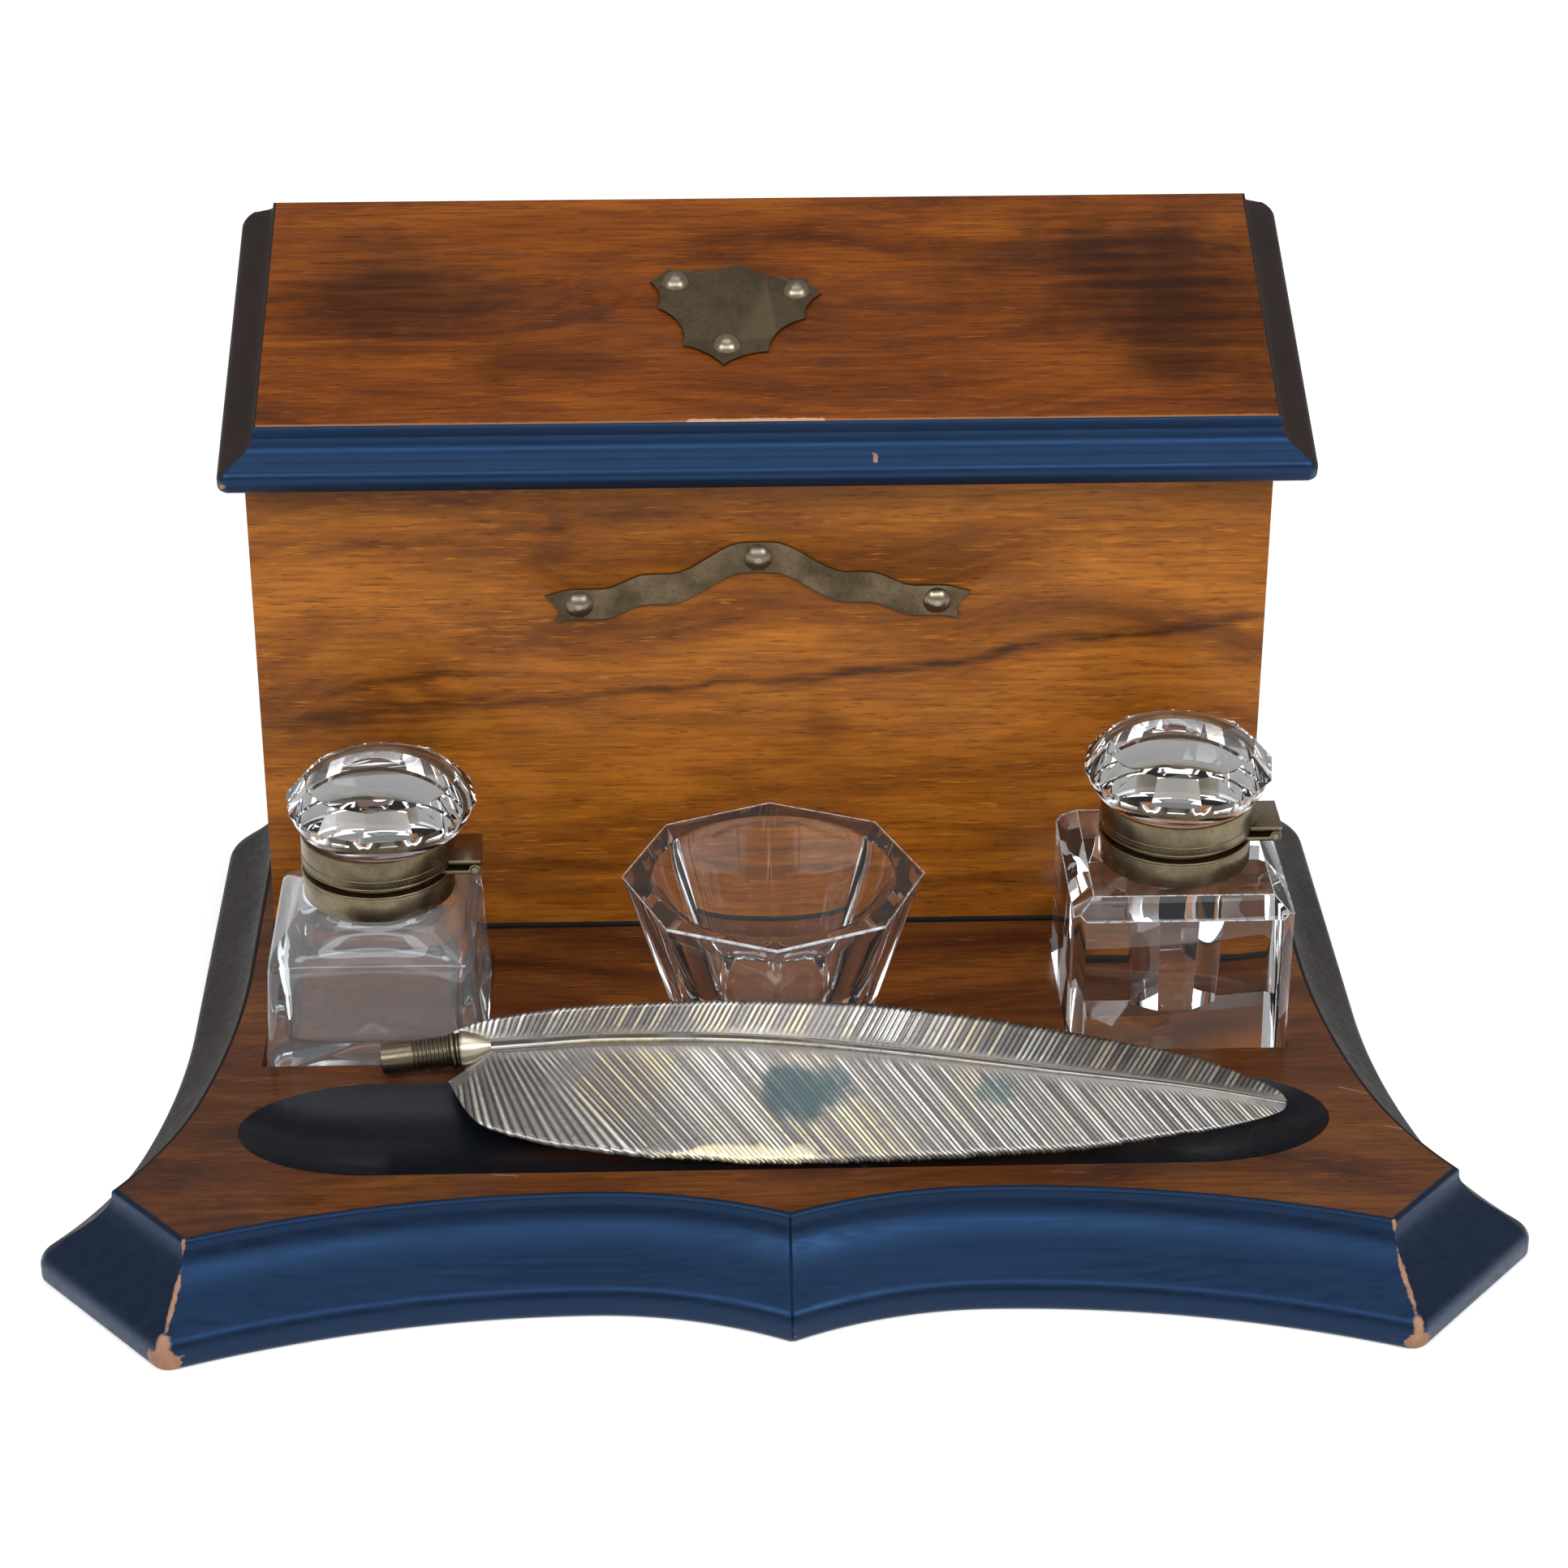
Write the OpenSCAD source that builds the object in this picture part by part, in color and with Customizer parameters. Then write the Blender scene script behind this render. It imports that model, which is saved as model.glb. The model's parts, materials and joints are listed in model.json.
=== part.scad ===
// Walnut desk set: a shaped base with a dished pen tray, a slope-lidded
// stationery box, two glass inkwells with hinged caps, a glass nib cup and a
// cast feather pen. X runs across the set, Y from front to back and Z up, and
// the origin is the middle of the footprint on the table.

/* [Base] */
// Width across the outer tips of the front corners
base_w = 336; // [332:1:348]
// Depth from the front corner mitres to the back
base_depth = 234; // [230:1:246]
// Thickness of the base board and of the moulding round it
base_t = 23; // [21:0.5:27]
// Width of the moulding round the base
mould_w = 15.5; // [14:0.5:17.5]
// Length of each clipped front corner of the board
clip_len = 25.5; // [20:0.5:29]
// Angle of the clipped corners to the front
clip_angle = 49; // [44:1:54]
// Distance from the middle to the deepest place of each front curve
front_peak_x = 44; // [36:1:54]
// Depth of each front curve behind its corner
front_dip = 15.2; // [12:0.2:17]
// How far the centre point stands out in front of the curves
front_point = 9.3; // [6:0.1:11]
// Radius of the long sweep of each side
side_sweep_r = 260; // [220:5:300]
// Turn of the long sweep of each side
side_sweep_turn = 13; // [9:1:15]
// Radius of the tighter sweep that flares out to the clipped corner
side_flare_r = 109; // [90:1:125]
// Slope of each side where it meets the clipped corner
side_end_turn = 33; // [28:1:38]

/* [Mouldings] */
// Flat top edge of the base moulding
base_lip = 1.2; // [0.8:0.1:1.6]
// Upright fillet under that edge
base_fillet = 2.5; // [1.5:0.1:3.5]
// Radius of the cove
base_cove_r = 8; // [7:0.1:8.5]
// Step between the cove and the nose
base_step = 0.6; // [0.4:0.1:0.9]
// Width of the lid moulding
lid_mould_w = 9.2; // [8.6:0.1:10.4]
// Flat top edge of the lid moulding
lid_lip = 0.8; // [0.5:0.1:1.1]
// Upright fillet of the lid moulding
lid_fillet = 2.6; // [1.8:0.1:3.2]
// Radius of the lid moulding's cove
lid_cove_r = 4.4; // [4:0.1:4.9]
// Step between the lid moulding's cove and its nose
lid_step = 0.6; // [0.4:0.1:0.9]

/* [Pen tray] */
// Length of the tray
tray_len = 248; // [236:1:252]
// Width of the tray
tray_w = 38.2; // [32:0.2:40]
// Depth of the tray
tray_depth = 7; // [5:0.5:9]
// Length of each rounded end of the tray
tray_end = 32.5; // [25:0.5:45]
// Place of the tray's middle in front of the base's middle
tray_y = 56.7; // [55:0.1:58]

/* [Box] */
// Width of the box
box_w = 240; // [232:1:244]
// Depth of the box
box_d = 68.5; // [65:0.5:72]
// Place of the box left of the base's middle
box_x = 3.1; // [0:0.1:5]
// Height of the box front above the base
box_h = 126.5; // [110:0.5:135]
// Thickness of the box walls
wall_t = 7; // [6:0.5:9]
// Thickness of the floor that shows below the walls
floor_edge = 1.3; // [1:0.1:2]
// How far the floor's edge stands proud of the walls
floor_proud = 0.6; // [0.3:0.1:1]
// Thickness of the floor inside the box
floor_t = 5; // [4:0.5:7]
// Slope of the lid
lid_slope = 19.5; // [15:0.5:23]
// Thickness of the dividers inside the box
divider_t = 4; // [3:0.5:5]
// Height of the front divider above the floor
divider_front_h = 78; // [60:1:84]
// Height of the rear divider above the floor
divider_rear_h = 104; // [90:1:108]
// Radius of the finger scoop in each divider
scoop_r = 55; // [45:1:65]
// Depth of the finger scoop
scoop_depth = 14; // [8:1:20]

/* [Lid] */
// Thickness of the lid panel and its moulding
lid_t = 12.6; // [11:0.1:14]
// Width of the lid panel
lid_panel_w = 235; // [228:1:239]
// How far the panel laps past the front of the box, along the slope
lid_lap = 3.3; // [2:0.1:5]
// Gap between the lid and the box walls
lid_gap = 0.15; // [0.1:0.05:0.3]
// Place of the lid right of the middle of the box
lid_x = 1.7; // [0:0.1:2.4]
// How far the lid runs on behind its top back edge
heel_over = 4.6; // [3:0.1:6]
// Depth of the bevel down the back edge of the lid
heel_bevel = 6.1; // [4:0.1:8]
// Cut across the back corners of the side mouldings
heel_corner = 2.6; // [1:0.1:4]

/* [Lid hinges] */
// Distance from the middle of the lid to the middle of each hinge
hinge_x = 78; // [60:1:95]
// Length of a hinge
hinge_len = 30; // [26:1:36]
// Width of a hinge leaf from the back of the box
leaf_w = 6.5; // [5.5:0.1:6.8]
// Thickness of a hinge leaf
leaf_t = 1.2; // [1:0.1:1.4]
// Radius of the hinge knuckles
knuckle_r = 1.9; // [1.7:0.1:2.1]
// Radius of the hinge pins
pin_r = 0.9; // [0.7:0.05:1]
// Distance between the two screws of a leaf
screw_pitch = 18; // [14:0.5:20]
// Radius of the screw heads
screw_head_r = 1.7; // [1.4:0.1:1.9]
// Radius of the screw shanks
screw_r = 0.8; // [0.6:0.1:0.9]
// Length of the screws
screw_len = 8; // [6:0.5:9]

/* [Brass plates] */
// Thickness of the plates on the lid and the box front
plate_t = 0.8; // [0.6:0.1:1.2]
// Radius of the domed nail heads
nail_head_r = 3.35; // [3:0.05:3.6]
// Height of the domed nail heads
nail_head_h = 1.9; // [1.4:0.1:2.2]
// Radius of the nail shanks
nail_r = 0.7; // [0.5:0.05:0.8]
// Length of the nail shanks below the plate
nail_len = 5; // [4:0.5:6]
// Size of the shield plate, as a share of its drawn outline
shield_k = 1; // [0.9:0.05:1.2]
// Place of the shield plate left of the middle of the box
shield_x = 5.8; // [0:0.1:16]
// Place of the shield plate behind the front of the lid panel
shield_s = 40.2; // [34:0.1:46]
// Turn of the shield plate on the lid
shield_turn = 7; // [0:1:10]
// Width of the ribbon plate between its tail tips
ribbon_w = 101.6; // [96:0.2:108]
// Height of the ribbon band
ribbon_h = 7.8; // [7.2:0.1:9]
// Rise of the ribbon's arch above its tails
ribbon_rise = 11.7; // [9:0.1:14]
// Place of the ribbon's tails above the base
ribbon_z = 88.3; // [80:0.1:96]
// Place of the ribbon plate left of the middle of the box
ribbon_x = 0.7; // [0:0.1:6]

/* [Inkwells] */
// Place of the right inkwell
ink_right_x = 93.1; // [91:0.1:96]
// Place of the left inkwell
ink_left_x = 93.6; // [91:0.1:96]
// Place of the right inkwell in front of the base's middle
ink_right_y = 2.2; // [0:0.1:4]
// Place of the left inkwell in front of the base's middle
ink_left_y = 3.5; // [0:0.1:4]
// Depth of the square recesses that hold the inkwells
recess_d = 4; // [3:0.5:5]
// Clearance round each inkwell in its recess
recess_gap = 0.4; // [0.3:0.1:0.6]
// Width of the cut glass inkwell
cut_w = 51; // [46:0.5:52]
// Height of the cut glass inkwell above the board
cut_h = 38.5; // [36:0.5:46]
// Bevel on the cut glass top edges, across
cut_bevel_w = 4.6; // [2.5:0.1:5]
// Bevel on the cut glass top edges, down
cut_bevel_h = 4.2; // [2:0.1:5]
// Chamfer on the cut glass upright corners
cut_chamfer = 2.6; // [2:0.1:4]
// Radius of the cut glass well at its mouth, across corners
cut_well_top_r = 12.4; // [11:0.1:13]
// Radius of the cut glass well at its foot, across corners
cut_well_foot_r = 10.2; // [9:0.1:11]
// Thickness of the glass under the cut inkwell's well
cut_floor_t = 9; // [7:0.5:12]
// Width of the moulded glass inkwell at its foot
moulded_w = 51.6; // [50:0.2:52.4]
// Width of the moulded inkwell at the top of its sides
moulded_top_w = 47; // [46:0.2:50]
// Distance of the moulded block to the left of its collar
moulded_shift = 1.2; // [0:0.1:1.5]
// Height of the moulded inkwell's sides above the board
moulded_side_h = 25; // [22:0.1:28]
// Height of the moulded inkwell's shoulder above the board
moulded_h = 33.3; // [31:0.1:37]
// Hollow of the moulded inkwell's sides
moulded_dish = 1.8; // [1:0.1:2.4]
// Width of the posts at the moulded inkwell's corners
post_w = 3.2; // [2.6:0.2:4]
// Thickness of the glass under the moulded inkwell's well
moulded_floor_t = 6; // [4:0.5:9]
// Radius of the moulded inkwell's well
moulded_well_r = 17; // [15:0.5:19]

/* [Inkwell collars and caps] */
// Outer radius of the brass collars
collar_r = 17.7; // [17:0.05:18.5]
// Wall of the brass collars
collar_wall = 2.2; // [1.8:0.1:2.6]
// Height of the lower collar
collar_h = 6.5; // [5.5:0.1:7.5]
// Height of the seat that the cap closes on
seat_h = 1.5; // [1.2:0.1:1.8]
// Height of the cap's collar
cap_ring_h = 7.4; // [6.5:0.1:8.5]
// Radius of the cap's glass girdle
girdle_r = 22.35; // [21:0.05:23]
// Height of the girdle above the cap's collar
girdle_z = 5.4; // [4:0.1:6.5]
// Height of the cut crown above the girdle
crown_h = 12.6; // [10:0.1:14]
// Distance of the left cap's glass off the middle of its collar
cap_left_shift = 1.4; // [0:0.1:1.6]
// Distance from the inkwell's middle to the cap hinge
cap_hinge_x = 22.8; // [22:0.1:24]
// Width of the cap hinge
cap_hinge_w = 13; // [11:0.5:15]
// Radius of the cap hinge's knuckles
cap_knuckle_r = 1.4; // [1.2:0.05:1.5]
// Radius of the cap hinge's pin
cap_pin_r = 0.7; // [0.5:0.05:0.8]

/* [Nib cup] */
// Radius of the cup across its corners, at the rim
cup_rim_r = 35.3; // [32:0.1:38]
// Radius of the cup across its corners, at the foot
cup_foot_r = 23.5; // [20:0.1:24.5]
// Height of the cup
cup_h = 37.5; // [32:0.5:44]
// Width of the ground rim, at the corners
cup_wall = 5.5; // [4.5:0.1:7]
// Thickness of the cup's floor
cup_floor = 5; // [4:0.5:8]
// Radius of the cup's hollow at its floor
cup_floor_r = 16; // [13:0.5:17]
// Place of the cup left of the middle
cup_x = 1.4; // [0:0.1:3]
// Place of the cup in front of the base's middle
cup_y = 8.8; // [7:0.1:8.8]

/* [Feather pen] */
// Thickness of the vanes
vane_t = 0.8; // [0.5:0.1:1]
// Lean of the feather against the cup
vane_tilt = 37; // [33:1:41]
// Radius of the shaft at the ferrule
shaft_r = 1.5; // [1.2:0.1:1.8]
// Radius of the shaft at the tip
shaft_tip_r = 0.5; // [0.4:0.1:0.7]
// Outer radius of the ferrule's sleeve
ferrule_r = 3.65; // [3.3:0.05:3.8]
// Radius of the ferrule's collars
ferrule_collar_r = 4.5; // [4.2:0.05:4.6]
// Radius of the socket for a nib
socket_r = 2.6; // [2.2:0.1:2.8]
// Depth of the socket for a nib
socket_len = 13; // [9:0.5:15]

/* [Hidden] */
$fn = 96;
eps = 0.01;
far = 500;
hinge_clear = 0.05;
nail_clear = 0.05;
hinge_slot = 0.25;

// ---- colours
walnut_dark = [0.30, 0.14, 0.07];
walnut_warm = [0.55, 0.28, 0.12];
walnut_lid = [0.42, 0.19, 0.08];
ebonised = [0.06, 0.06, 0.08];
side_brown = [0.10, 0.06, 0.05];
brass_old = [0.42, 0.35, 0.18];
brass_dark = [0.28, 0.24, 0.14];
bronze_pale = [0.55, 0.50, 0.38];
clear_glass = [0.80, 0.87, 0.90, 0.5];

// ---- rules for arcs and mitres
// Radius of the arc that starts level and sinks by sag over a run
function arc_r(run, sag) = (run * run + sag * sag) / (2 * sag);
// Turn of that arc
function arc_turn(run, sag) = 2 * atan(sag / run);
// Outward normal of an edge that runs at angle a, with the board on its left
function outward(a) = [sin(a), -cos(a)];
// Step from a board corner to the moulding's outer corner, where a straight run with
// outward normal n meets an arc whose centre lies at way from the corner
function corner_step(n, way, r) = let (q = mould_w * n - way, d = [-n.y, n.x],
        back = sqrt(pow(q * d, 2) - q * q + pow(r - mould_w, 2)))
    mould_w * n + d * (-(q * d) + (q * d > 0 ? back : -back));
function heading(v) = atan2(v.y, v.x);

// ---- plan of the base board, right half
back_y = base_depth / 2;
board_back_y = back_y - mould_w;
side_flare_way = side_flare_r * [cos(side_end_turn), sin(side_end_turn)];
tip_step = corner_step(outward(clip_angle), side_flare_way, side_flare_r);
clip_back_x = base_w / 2 - tip_step.x;
clip_front_x = clip_back_x - clip_len * cos(clip_angle);
front_turn = arc_turn(clip_front_x - front_peak_x, front_dip);
front_r = arc_r(clip_front_x - front_peak_x, front_dip);
point_turn = arc_turn(front_peak_x, front_point);
point_r = arc_r(front_peak_x, front_point);
front_way = -front_r * [sin(front_turn), cos(front_turn)];
front_step = corner_step(outward(clip_angle), front_way, front_r);
clip_front_y = -base_depth / 2 - front_step.y;
clip_back_y = clip_front_y + clip_len * sin(clip_angle);
peak_y = clip_front_y + front_dip;
clip_front = [clip_front_x, clip_front_y];
clip_back = [clip_back_x, clip_back_y];
flare_centre = clip_back + side_flare_way;
flare_start = flare_centre - side_flare_r * [cos(side_sweep_turn), sin(side_sweep_turn)];
sweep_centre = flare_start + side_sweep_r * [cos(side_sweep_turn), sin(side_sweep_turn)];
sweep_start_y = sweep_centre.y;
board_half_w = sweep_centre.x - side_sweep_r;
point_centre = [front_peak_x, peak_y - point_r];
front_centre = [front_peak_x, peak_y - front_r];
mitre_spare = 8;

// ---- box and lid
box_back_y = board_back_y;
box_front_y = box_back_y - box_d;
wall_z = base_t + floor_edge;
joint_z = base_t + box_h + box_d * tan(lid_slope);
lid_run = box_d / cos(lid_slope) + lid_lap;
lid_top = lid_gap + lid_t;
lid_brow = lid_top * tan(lid_slope);
lid_heel = lid_brow + heel_over;
hinge_back = knuckle_r + 0.2;
hinge_up = lid_gap / 2;
inner_w = box_w - 2 * wall_t;
inner_d = box_d - 2 * wall_t;
bay_d = (inner_d - 2 * divider_t) / 3;
floor_top = base_t + floor_t;

// ---- inkwells
right_place = [ink_right_x, -ink_right_y, 0];
left_place = [-ink_left_x, -ink_left_y, 0];
left_block = left_place - [moulded_shift, 0, 0];
cut_seat = base_t - recess_d;
cut_top = base_t + cut_h;
moulded_top = base_t + moulded_h;
moulded_floor = cut_seat + moulded_floor_t;
moulded_well_h = base_t + moulded_side_h - moulded_floor - 2;
well_shoulder = 6;
collar_bore = collar_r - collar_wall;
neck_r = collar_bore;
mouth_r = neck_r - 2.6;
neck_h = collar_h - 0.6;
cap_drop = 0.1;

// ---- pen, with points from the middle of the tray's mouth
ferrule_start = [-92.4, 21.9, 4.6];
// Shaft of the feather, from the ferrule to the tip
shaft_line = [
    [-67.8, 22, 7.8], [-57, 20.6, 9.4], [-39, 18, 12], [-8, 11.9, 15], [24, 7.9, 13.7],
    [60, 5.7, 9.4], [92, 4.7, 5], [114.5, 2.1, 1.8]
];
// Lower edge of the feather, down in the tray
low_edge = [
    [-77, 15.6, 2.2], [-68, 0.9, -1.2], [-44, -7.5, -2.7], [-8, -13.6, -2.6],
    [28, -13.6, -2.6], [64, -10.8, -2.5], [94, -5.6, -1.2], [114.5, 1.3, 1.4]
];
// Upper edge of the feather, against the cup
up_edge = [
    [-77.5, 26, 8.8], [-66, 25.2, 13.6], [-42, 21.9, 18.6], [-8, 16.9, 22.2],
    [26, 16.2, 20.6], [62, 16.1, 14], [94, 13.7, 7.2], [114.5, 2.9, 2.2]
];
vane_steps = 35;

// ---- shared shapes
// Everything on the left of a line through p at heading a
module left_of(p, a) {
    translate([p.x, p.y, 0]) rotate(a) translate([-far, 0, -far]) cube([2 * far, far, 2 * far]);
}

// Moulding section: flat edge, fillet, cove, step and round nose, outwards along +X
module mould_section(w, h, lip, fillet, cove, step) {
    nose = w - lip - cove - step;
    nose_z = (h - fillet - cove) - step - nose;
    square([lip, h]);
    difference() {
        square([lip + cove, h - fillet]);
        translate([lip + cove, h - fillet]) circle(cove);
    }
    square([w - nose, nose_z + nose]);
    square([w, nose_z]);
    intersection() {
        translate([w - nose, nose_z]) circle(nose);
        translate([w - nose - eps, nose_z - eps]) square(nose + 1);
    }
}

module base_section() {
    mould_section(mould_w, base_t, base_lip, base_fillet, base_cove_r, base_step);
}

module lid_section() {
    mould_section(lid_mould_w, lid_t, lid_lip, lid_fillet, lid_cove_r, lid_step);
}

// Straight length of a section from a to b, with its outside on the right of the way
module run(a, b, spare = 0) {
    way = b - a;
    translate([a.x, a.y, 0]) rotate(heading(way)) translate([-spare, 0, 0])
        rotate([90, 0, 90]) linear_extrude(norm(way) + 2 * spare) mirror([1, 0]) children();
}

// Length of the base section inside an arc, whose centre lies outside the board
module bend(centre, r, a0, a1) {
    translate([centre.x, centre.y, 0]) rotate(a0) rotate_extrude(angle = a1 - a0)
        translate([r, 0]) mirror([1, 0]) base_section();
}

// Round segment cut from a straight board edge, kept between two bounds
module hollow(centre, r, low, high) {
    intersection() {
        translate(centre) circle(r, $fn = 180);
        translate(low) square(high - low);
    }
}

module board_plan_half() {
    difference() {
        polygon([[0, board_back_y], [0, peak_y - front_point], [front_peak_x, peak_y],
            clip_front, clip_back, flare_start, [board_half_w, sweep_start_y],
            [board_half_w, board_back_y]]);
        hollow(point_centre, point_r, [0, peak_y - front_point - 1], [front_peak_x, peak_y + 1]);
        hollow(front_centre, front_r, [front_peak_x, clip_front_y - 1],
            [clip_front_x, peak_y + 1]);
        hollow(flare_centre, side_flare_r, [board_half_w - 1, clip_back_y],
            [clip_back_x, flare_start.y]);
        hollow(sweep_centre, side_sweep_r, [board_half_w - 1, flare_start.y],
            [clip_back_x, sweep_start_y]);
    }
}

// Half width of the tray at a distance x from its middle
function tray_half(x) = let (past = max(0, abs(x) - (tray_len / 2 - tray_end)))
    (tray_w / 2) * sqrt(max(0, 1 - pow(past / tray_end, 2)));

// Long spindle that leaves the dished tray in the top of the board
module tray_spindle() {
    dish_r = (pow(tray_w / 2, 2) + pow(tray_depth, 2)) / (2 * tray_depth);
    axis_up = dish_r - tray_depth;
    ring = [for (a = [-90:7.5:90]) let (x = (tray_len / 2 - tray_end) * sign(a)
        + tray_end * sin(a)) [x, sqrt(pow(tray_half(x), 2) + pow(axis_up, 2))]];
    translate([0, -tray_y, base_t + axis_up]) rotate([0, 90, 0])
        rotate_extrude() polygon([for (p = ring) [p.y, -p.x], [0, -tray_len / 2],
            [0, tray_len / 2]]);
}

module recess(place, w) {
    side = w + 2 * recess_gap;
    translate([place.x - side / 2, place.y - side / 2, base_t - recess_d])
        cube([side, side, far]);
}

// ---- base
module base_board() {
    color(walnut_dark) difference() {
        linear_extrude(base_t) {
            board_plan_half();
            mirror([1, 0]) board_plan_half();
        }
        tray_spindle();
        recess(right_place, cut_w);
        recess(left_block, moulded_w);
    }
}

// Lengths of the moulding, one to each curve: the centre point, the long front hollow, the
// clipped corner, the flare behind it and the side
module point_moulding() {
    intersection() {
        bend(point_centre, point_r, 90, 90 + point_turn + mitre_spare);
        left_of([0, 0], -90);
    }
}

module front_moulding() {
    intersection() {
        bend(front_centre, front_r, 90 - front_turn - mitre_spare, 90);
        left_of(clip_front, heading(front_step) + 180);
    }
}

module corner_moulding() {
    intersection() {
        run(clip_front, clip_back, 2 * mould_w) base_section();
        left_of(clip_front, heading(front_step));
        left_of(clip_back, heading(tip_step) + 180);
    }
}

module flare_moulding() {
    intersection() {
        bend(flare_centre, side_flare_r, 180 + side_sweep_turn,
            180 + side_end_turn + 2 * mitre_spare);
        left_of(clip_back, heading(tip_step));
    }
}

module side_moulding() {
    bend(sweep_centre, side_sweep_r, 180, 180 + side_sweep_turn);
    run([board_half_w, sweep_start_y], [board_half_w, board_back_y]) base_section();
    translate([board_half_w, board_back_y]) rotate_extrude(angle = 90) base_section();
}

module base_moulding_point_right() color(ebonised) point_moulding();
module base_moulding_point_left() color(ebonised) mirror([1, 0, 0]) point_moulding();
module base_moulding_front_right() color(ebonised) front_moulding();
module base_moulding_front_left() color(ebonised) mirror([1, 0, 0]) front_moulding();
module base_moulding_corner_right() color(ebonised) corner_moulding();
module base_moulding_corner_left() color(ebonised) mirror([1, 0, 0]) corner_moulding();
module base_moulding_flare_right() color(side_brown) flare_moulding();
module base_moulding_flare_left() color(side_brown) mirror([1, 0, 0]) flare_moulding();
module base_moulding_side_right() color(side_brown) side_moulding();
module base_moulding_side_left() color(side_brown) mirror([1, 0, 0]) side_moulding();
module base_moulding_back() {
    color(side_brown) run([board_half_w, board_back_y], [-board_half_w, board_back_y])
        base_section();
}

// ---- box
module at_box() {
    translate([-box_x, 0, 0]) children();
}

// Frame of the lid joint: origin at the back of the box, Y up the slope, Z off the lid
module on_joint() {
    translate([-box_x, box_back_y, joint_z]) rotate([lid_slope, 0, 0]) children();
}

// Everything above the sloped top of the box
module above_box() {
    on_joint() translate([-far, -far, 0]) cube([2 * far, 2 * far, far]);
}

// Hollow that lets one hinge leaf and its screws into the box or the lid
module leaf_bed(up) {
    depth = leaf_t + (up ? lid_gap : 0);
    translate([-hinge_len / 2, -leaf_w, up ? 0 : -depth])
        cube([hinge_len, leaf_w + hinge_back, depth]);
    for (x = [-screw_pitch / 2, screw_pitch / 2])
        translate([x, -leaf_w / 2, 0]) mirror([0, 0, up ? 0 : 1])
            cylinder(r = screw_r, h = screw_len + (up ? lid_gap : 0));
}

module both_hinges() {
    for (x = [-hinge_x, hinge_x]) translate([x, 0, 0]) children();
}

module wall(x0, x1, y0, y1) {
    difference() {
        at_box() translate([x0, y0, wall_z]) cube([x1 - x0, y1 - y0, far]);
        above_box();
        children();
    }
}

module box_floor() {
    color(ebonised) at_box() {
        translate([-box_w / 2 - floor_proud, box_front_y - floor_proud, base_t])
            cube([box_w + 2 * floor_proud, box_d + floor_proud, floor_edge]);
        translate([-inner_w / 2, box_front_y + wall_t, base_t])
            cube([inner_w, inner_d, floor_t]);
    }
}

module box_front() {
    color(walnut_warm) wall(-box_w / 2, box_w / 2, box_front_y, box_front_y + wall_t)
        ribbon_holes(nail_r);
}

module box_back() {
    color(walnut_warm) wall(-box_w / 2, box_w / 2, box_back_y - wall_t, box_back_y)
        on_joint() both_hinges() leaf_bed(false);
}

module box_side(x0) {
    color(walnut_warm) wall(x0, x0 + wall_t, box_front_y + wall_t, box_back_y - wall_t);
}

module box_side_left() box_side(-box_w / 2);
module box_side_right() box_side(box_w / 2 - wall_t);

// Upright board across the inside, with a finger scoop in its top edge
module divider(bay, h) {
    y = box_front_y + wall_t + bay * bay_d + (bay - 1) * divider_t;
    top = floor_top + h;
    color(walnut_lid) at_box() difference() {
        translate([-inner_w / 2, y, floor_top]) cube([inner_w, divider_t, h]);
        translate([0, y - 1, top + scoop_r - scoop_depth]) rotate([-90, 0, 0])
            cylinder(r = scoop_r, h = divider_t + 2);
    }
}

module divider_front() divider(1, divider_front_h);
module divider_rear() divider(2, divider_rear_h);

// ---- domed brass nails
module nail() {
    dome_r = (pow(nail_head_r, 2) + pow(nail_head_h, 2)) / (2 * nail_head_h);
    intersection() {
        translate([0, 0, nail_head_h - dome_r]) sphere(dome_r);
        cylinder(r = nail_head_r, h = nail_head_h);
    }
    translate([0, 0, -plate_t - nail_len]) cylinder(r = nail_r, h = plate_t + nail_len + eps);
}

module nail_hole(r) {
    translate([0, 0, -plate_t - nail_len]) cylinder(r = r, h = 2 * (plate_t + nail_len));
}

// ---- ribbon plate on the box front
ribbon_tail = 3.6;
ribbon_nail_x = 42.4;
// Smooth step from 0 to 1 between two places
function ease(x, a, b) = let (t = min(1, max(0, (x - a) / (b - a)))) t * t * (3 - 2 * t);
// Height of the ribbon's middle line above its tails: an arch, a ledge, a drop and a droop
function ribbon_line(x) = ribbon_rise * (1 - 0.68 * ease(abs(x), 3, 21)
    - 0.32 * ease(abs(x), 26, 37) - 0.14 * ease(abs(x), 44, 51));
ribbon_edge = [for (x = [-ribbon_w / 2:ribbon_w / 44:ribbon_w / 2 + eps])
    [x, ribbon_line(x)]];

module ribbon_outline() {
    tail = ribbon_w / 2;
    difference() {
        polygon(concat([for (p = ribbon_edge) p + [0, ribbon_h / 2]],
            [for (i = [len(ribbon_edge) - 1:-1:0]) ribbon_edge[i] - [0, ribbon_h / 2]]));
        for (s = [-1, 1]) polygon([[s * (tail + 1), -ribbon_h],
            [s * (tail - 0.8 * ribbon_tail), -ribbon_h], [s * (tail - ribbon_tail), -1.5],
            [s * (tail + 1), ribbon_h / 2]]);
    }
}

module on_front() {
    at_box() translate([-ribbon_x, box_front_y, base_t + ribbon_z]) rotate([90, 0, 0])
        children();
}

module ribbon_nail_places() {
    for (x = [-ribbon_nail_x, 0, ribbon_nail_x])
        translate([x, ribbon_line(x), plate_t]) children();
}

module ribbon_holes(r) {
    on_front() ribbon_nail_places() nail_hole(r);
}

module ribbon_plate() {
    color(brass_dark) difference() {
        on_front() linear_extrude(plate_t) ribbon_outline();
        ribbon_holes(nail_r + nail_clear);
    }
}

module ribbon_nails() {
    color(brass_old) on_front() ribbon_nail_places() nail();
}

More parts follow.
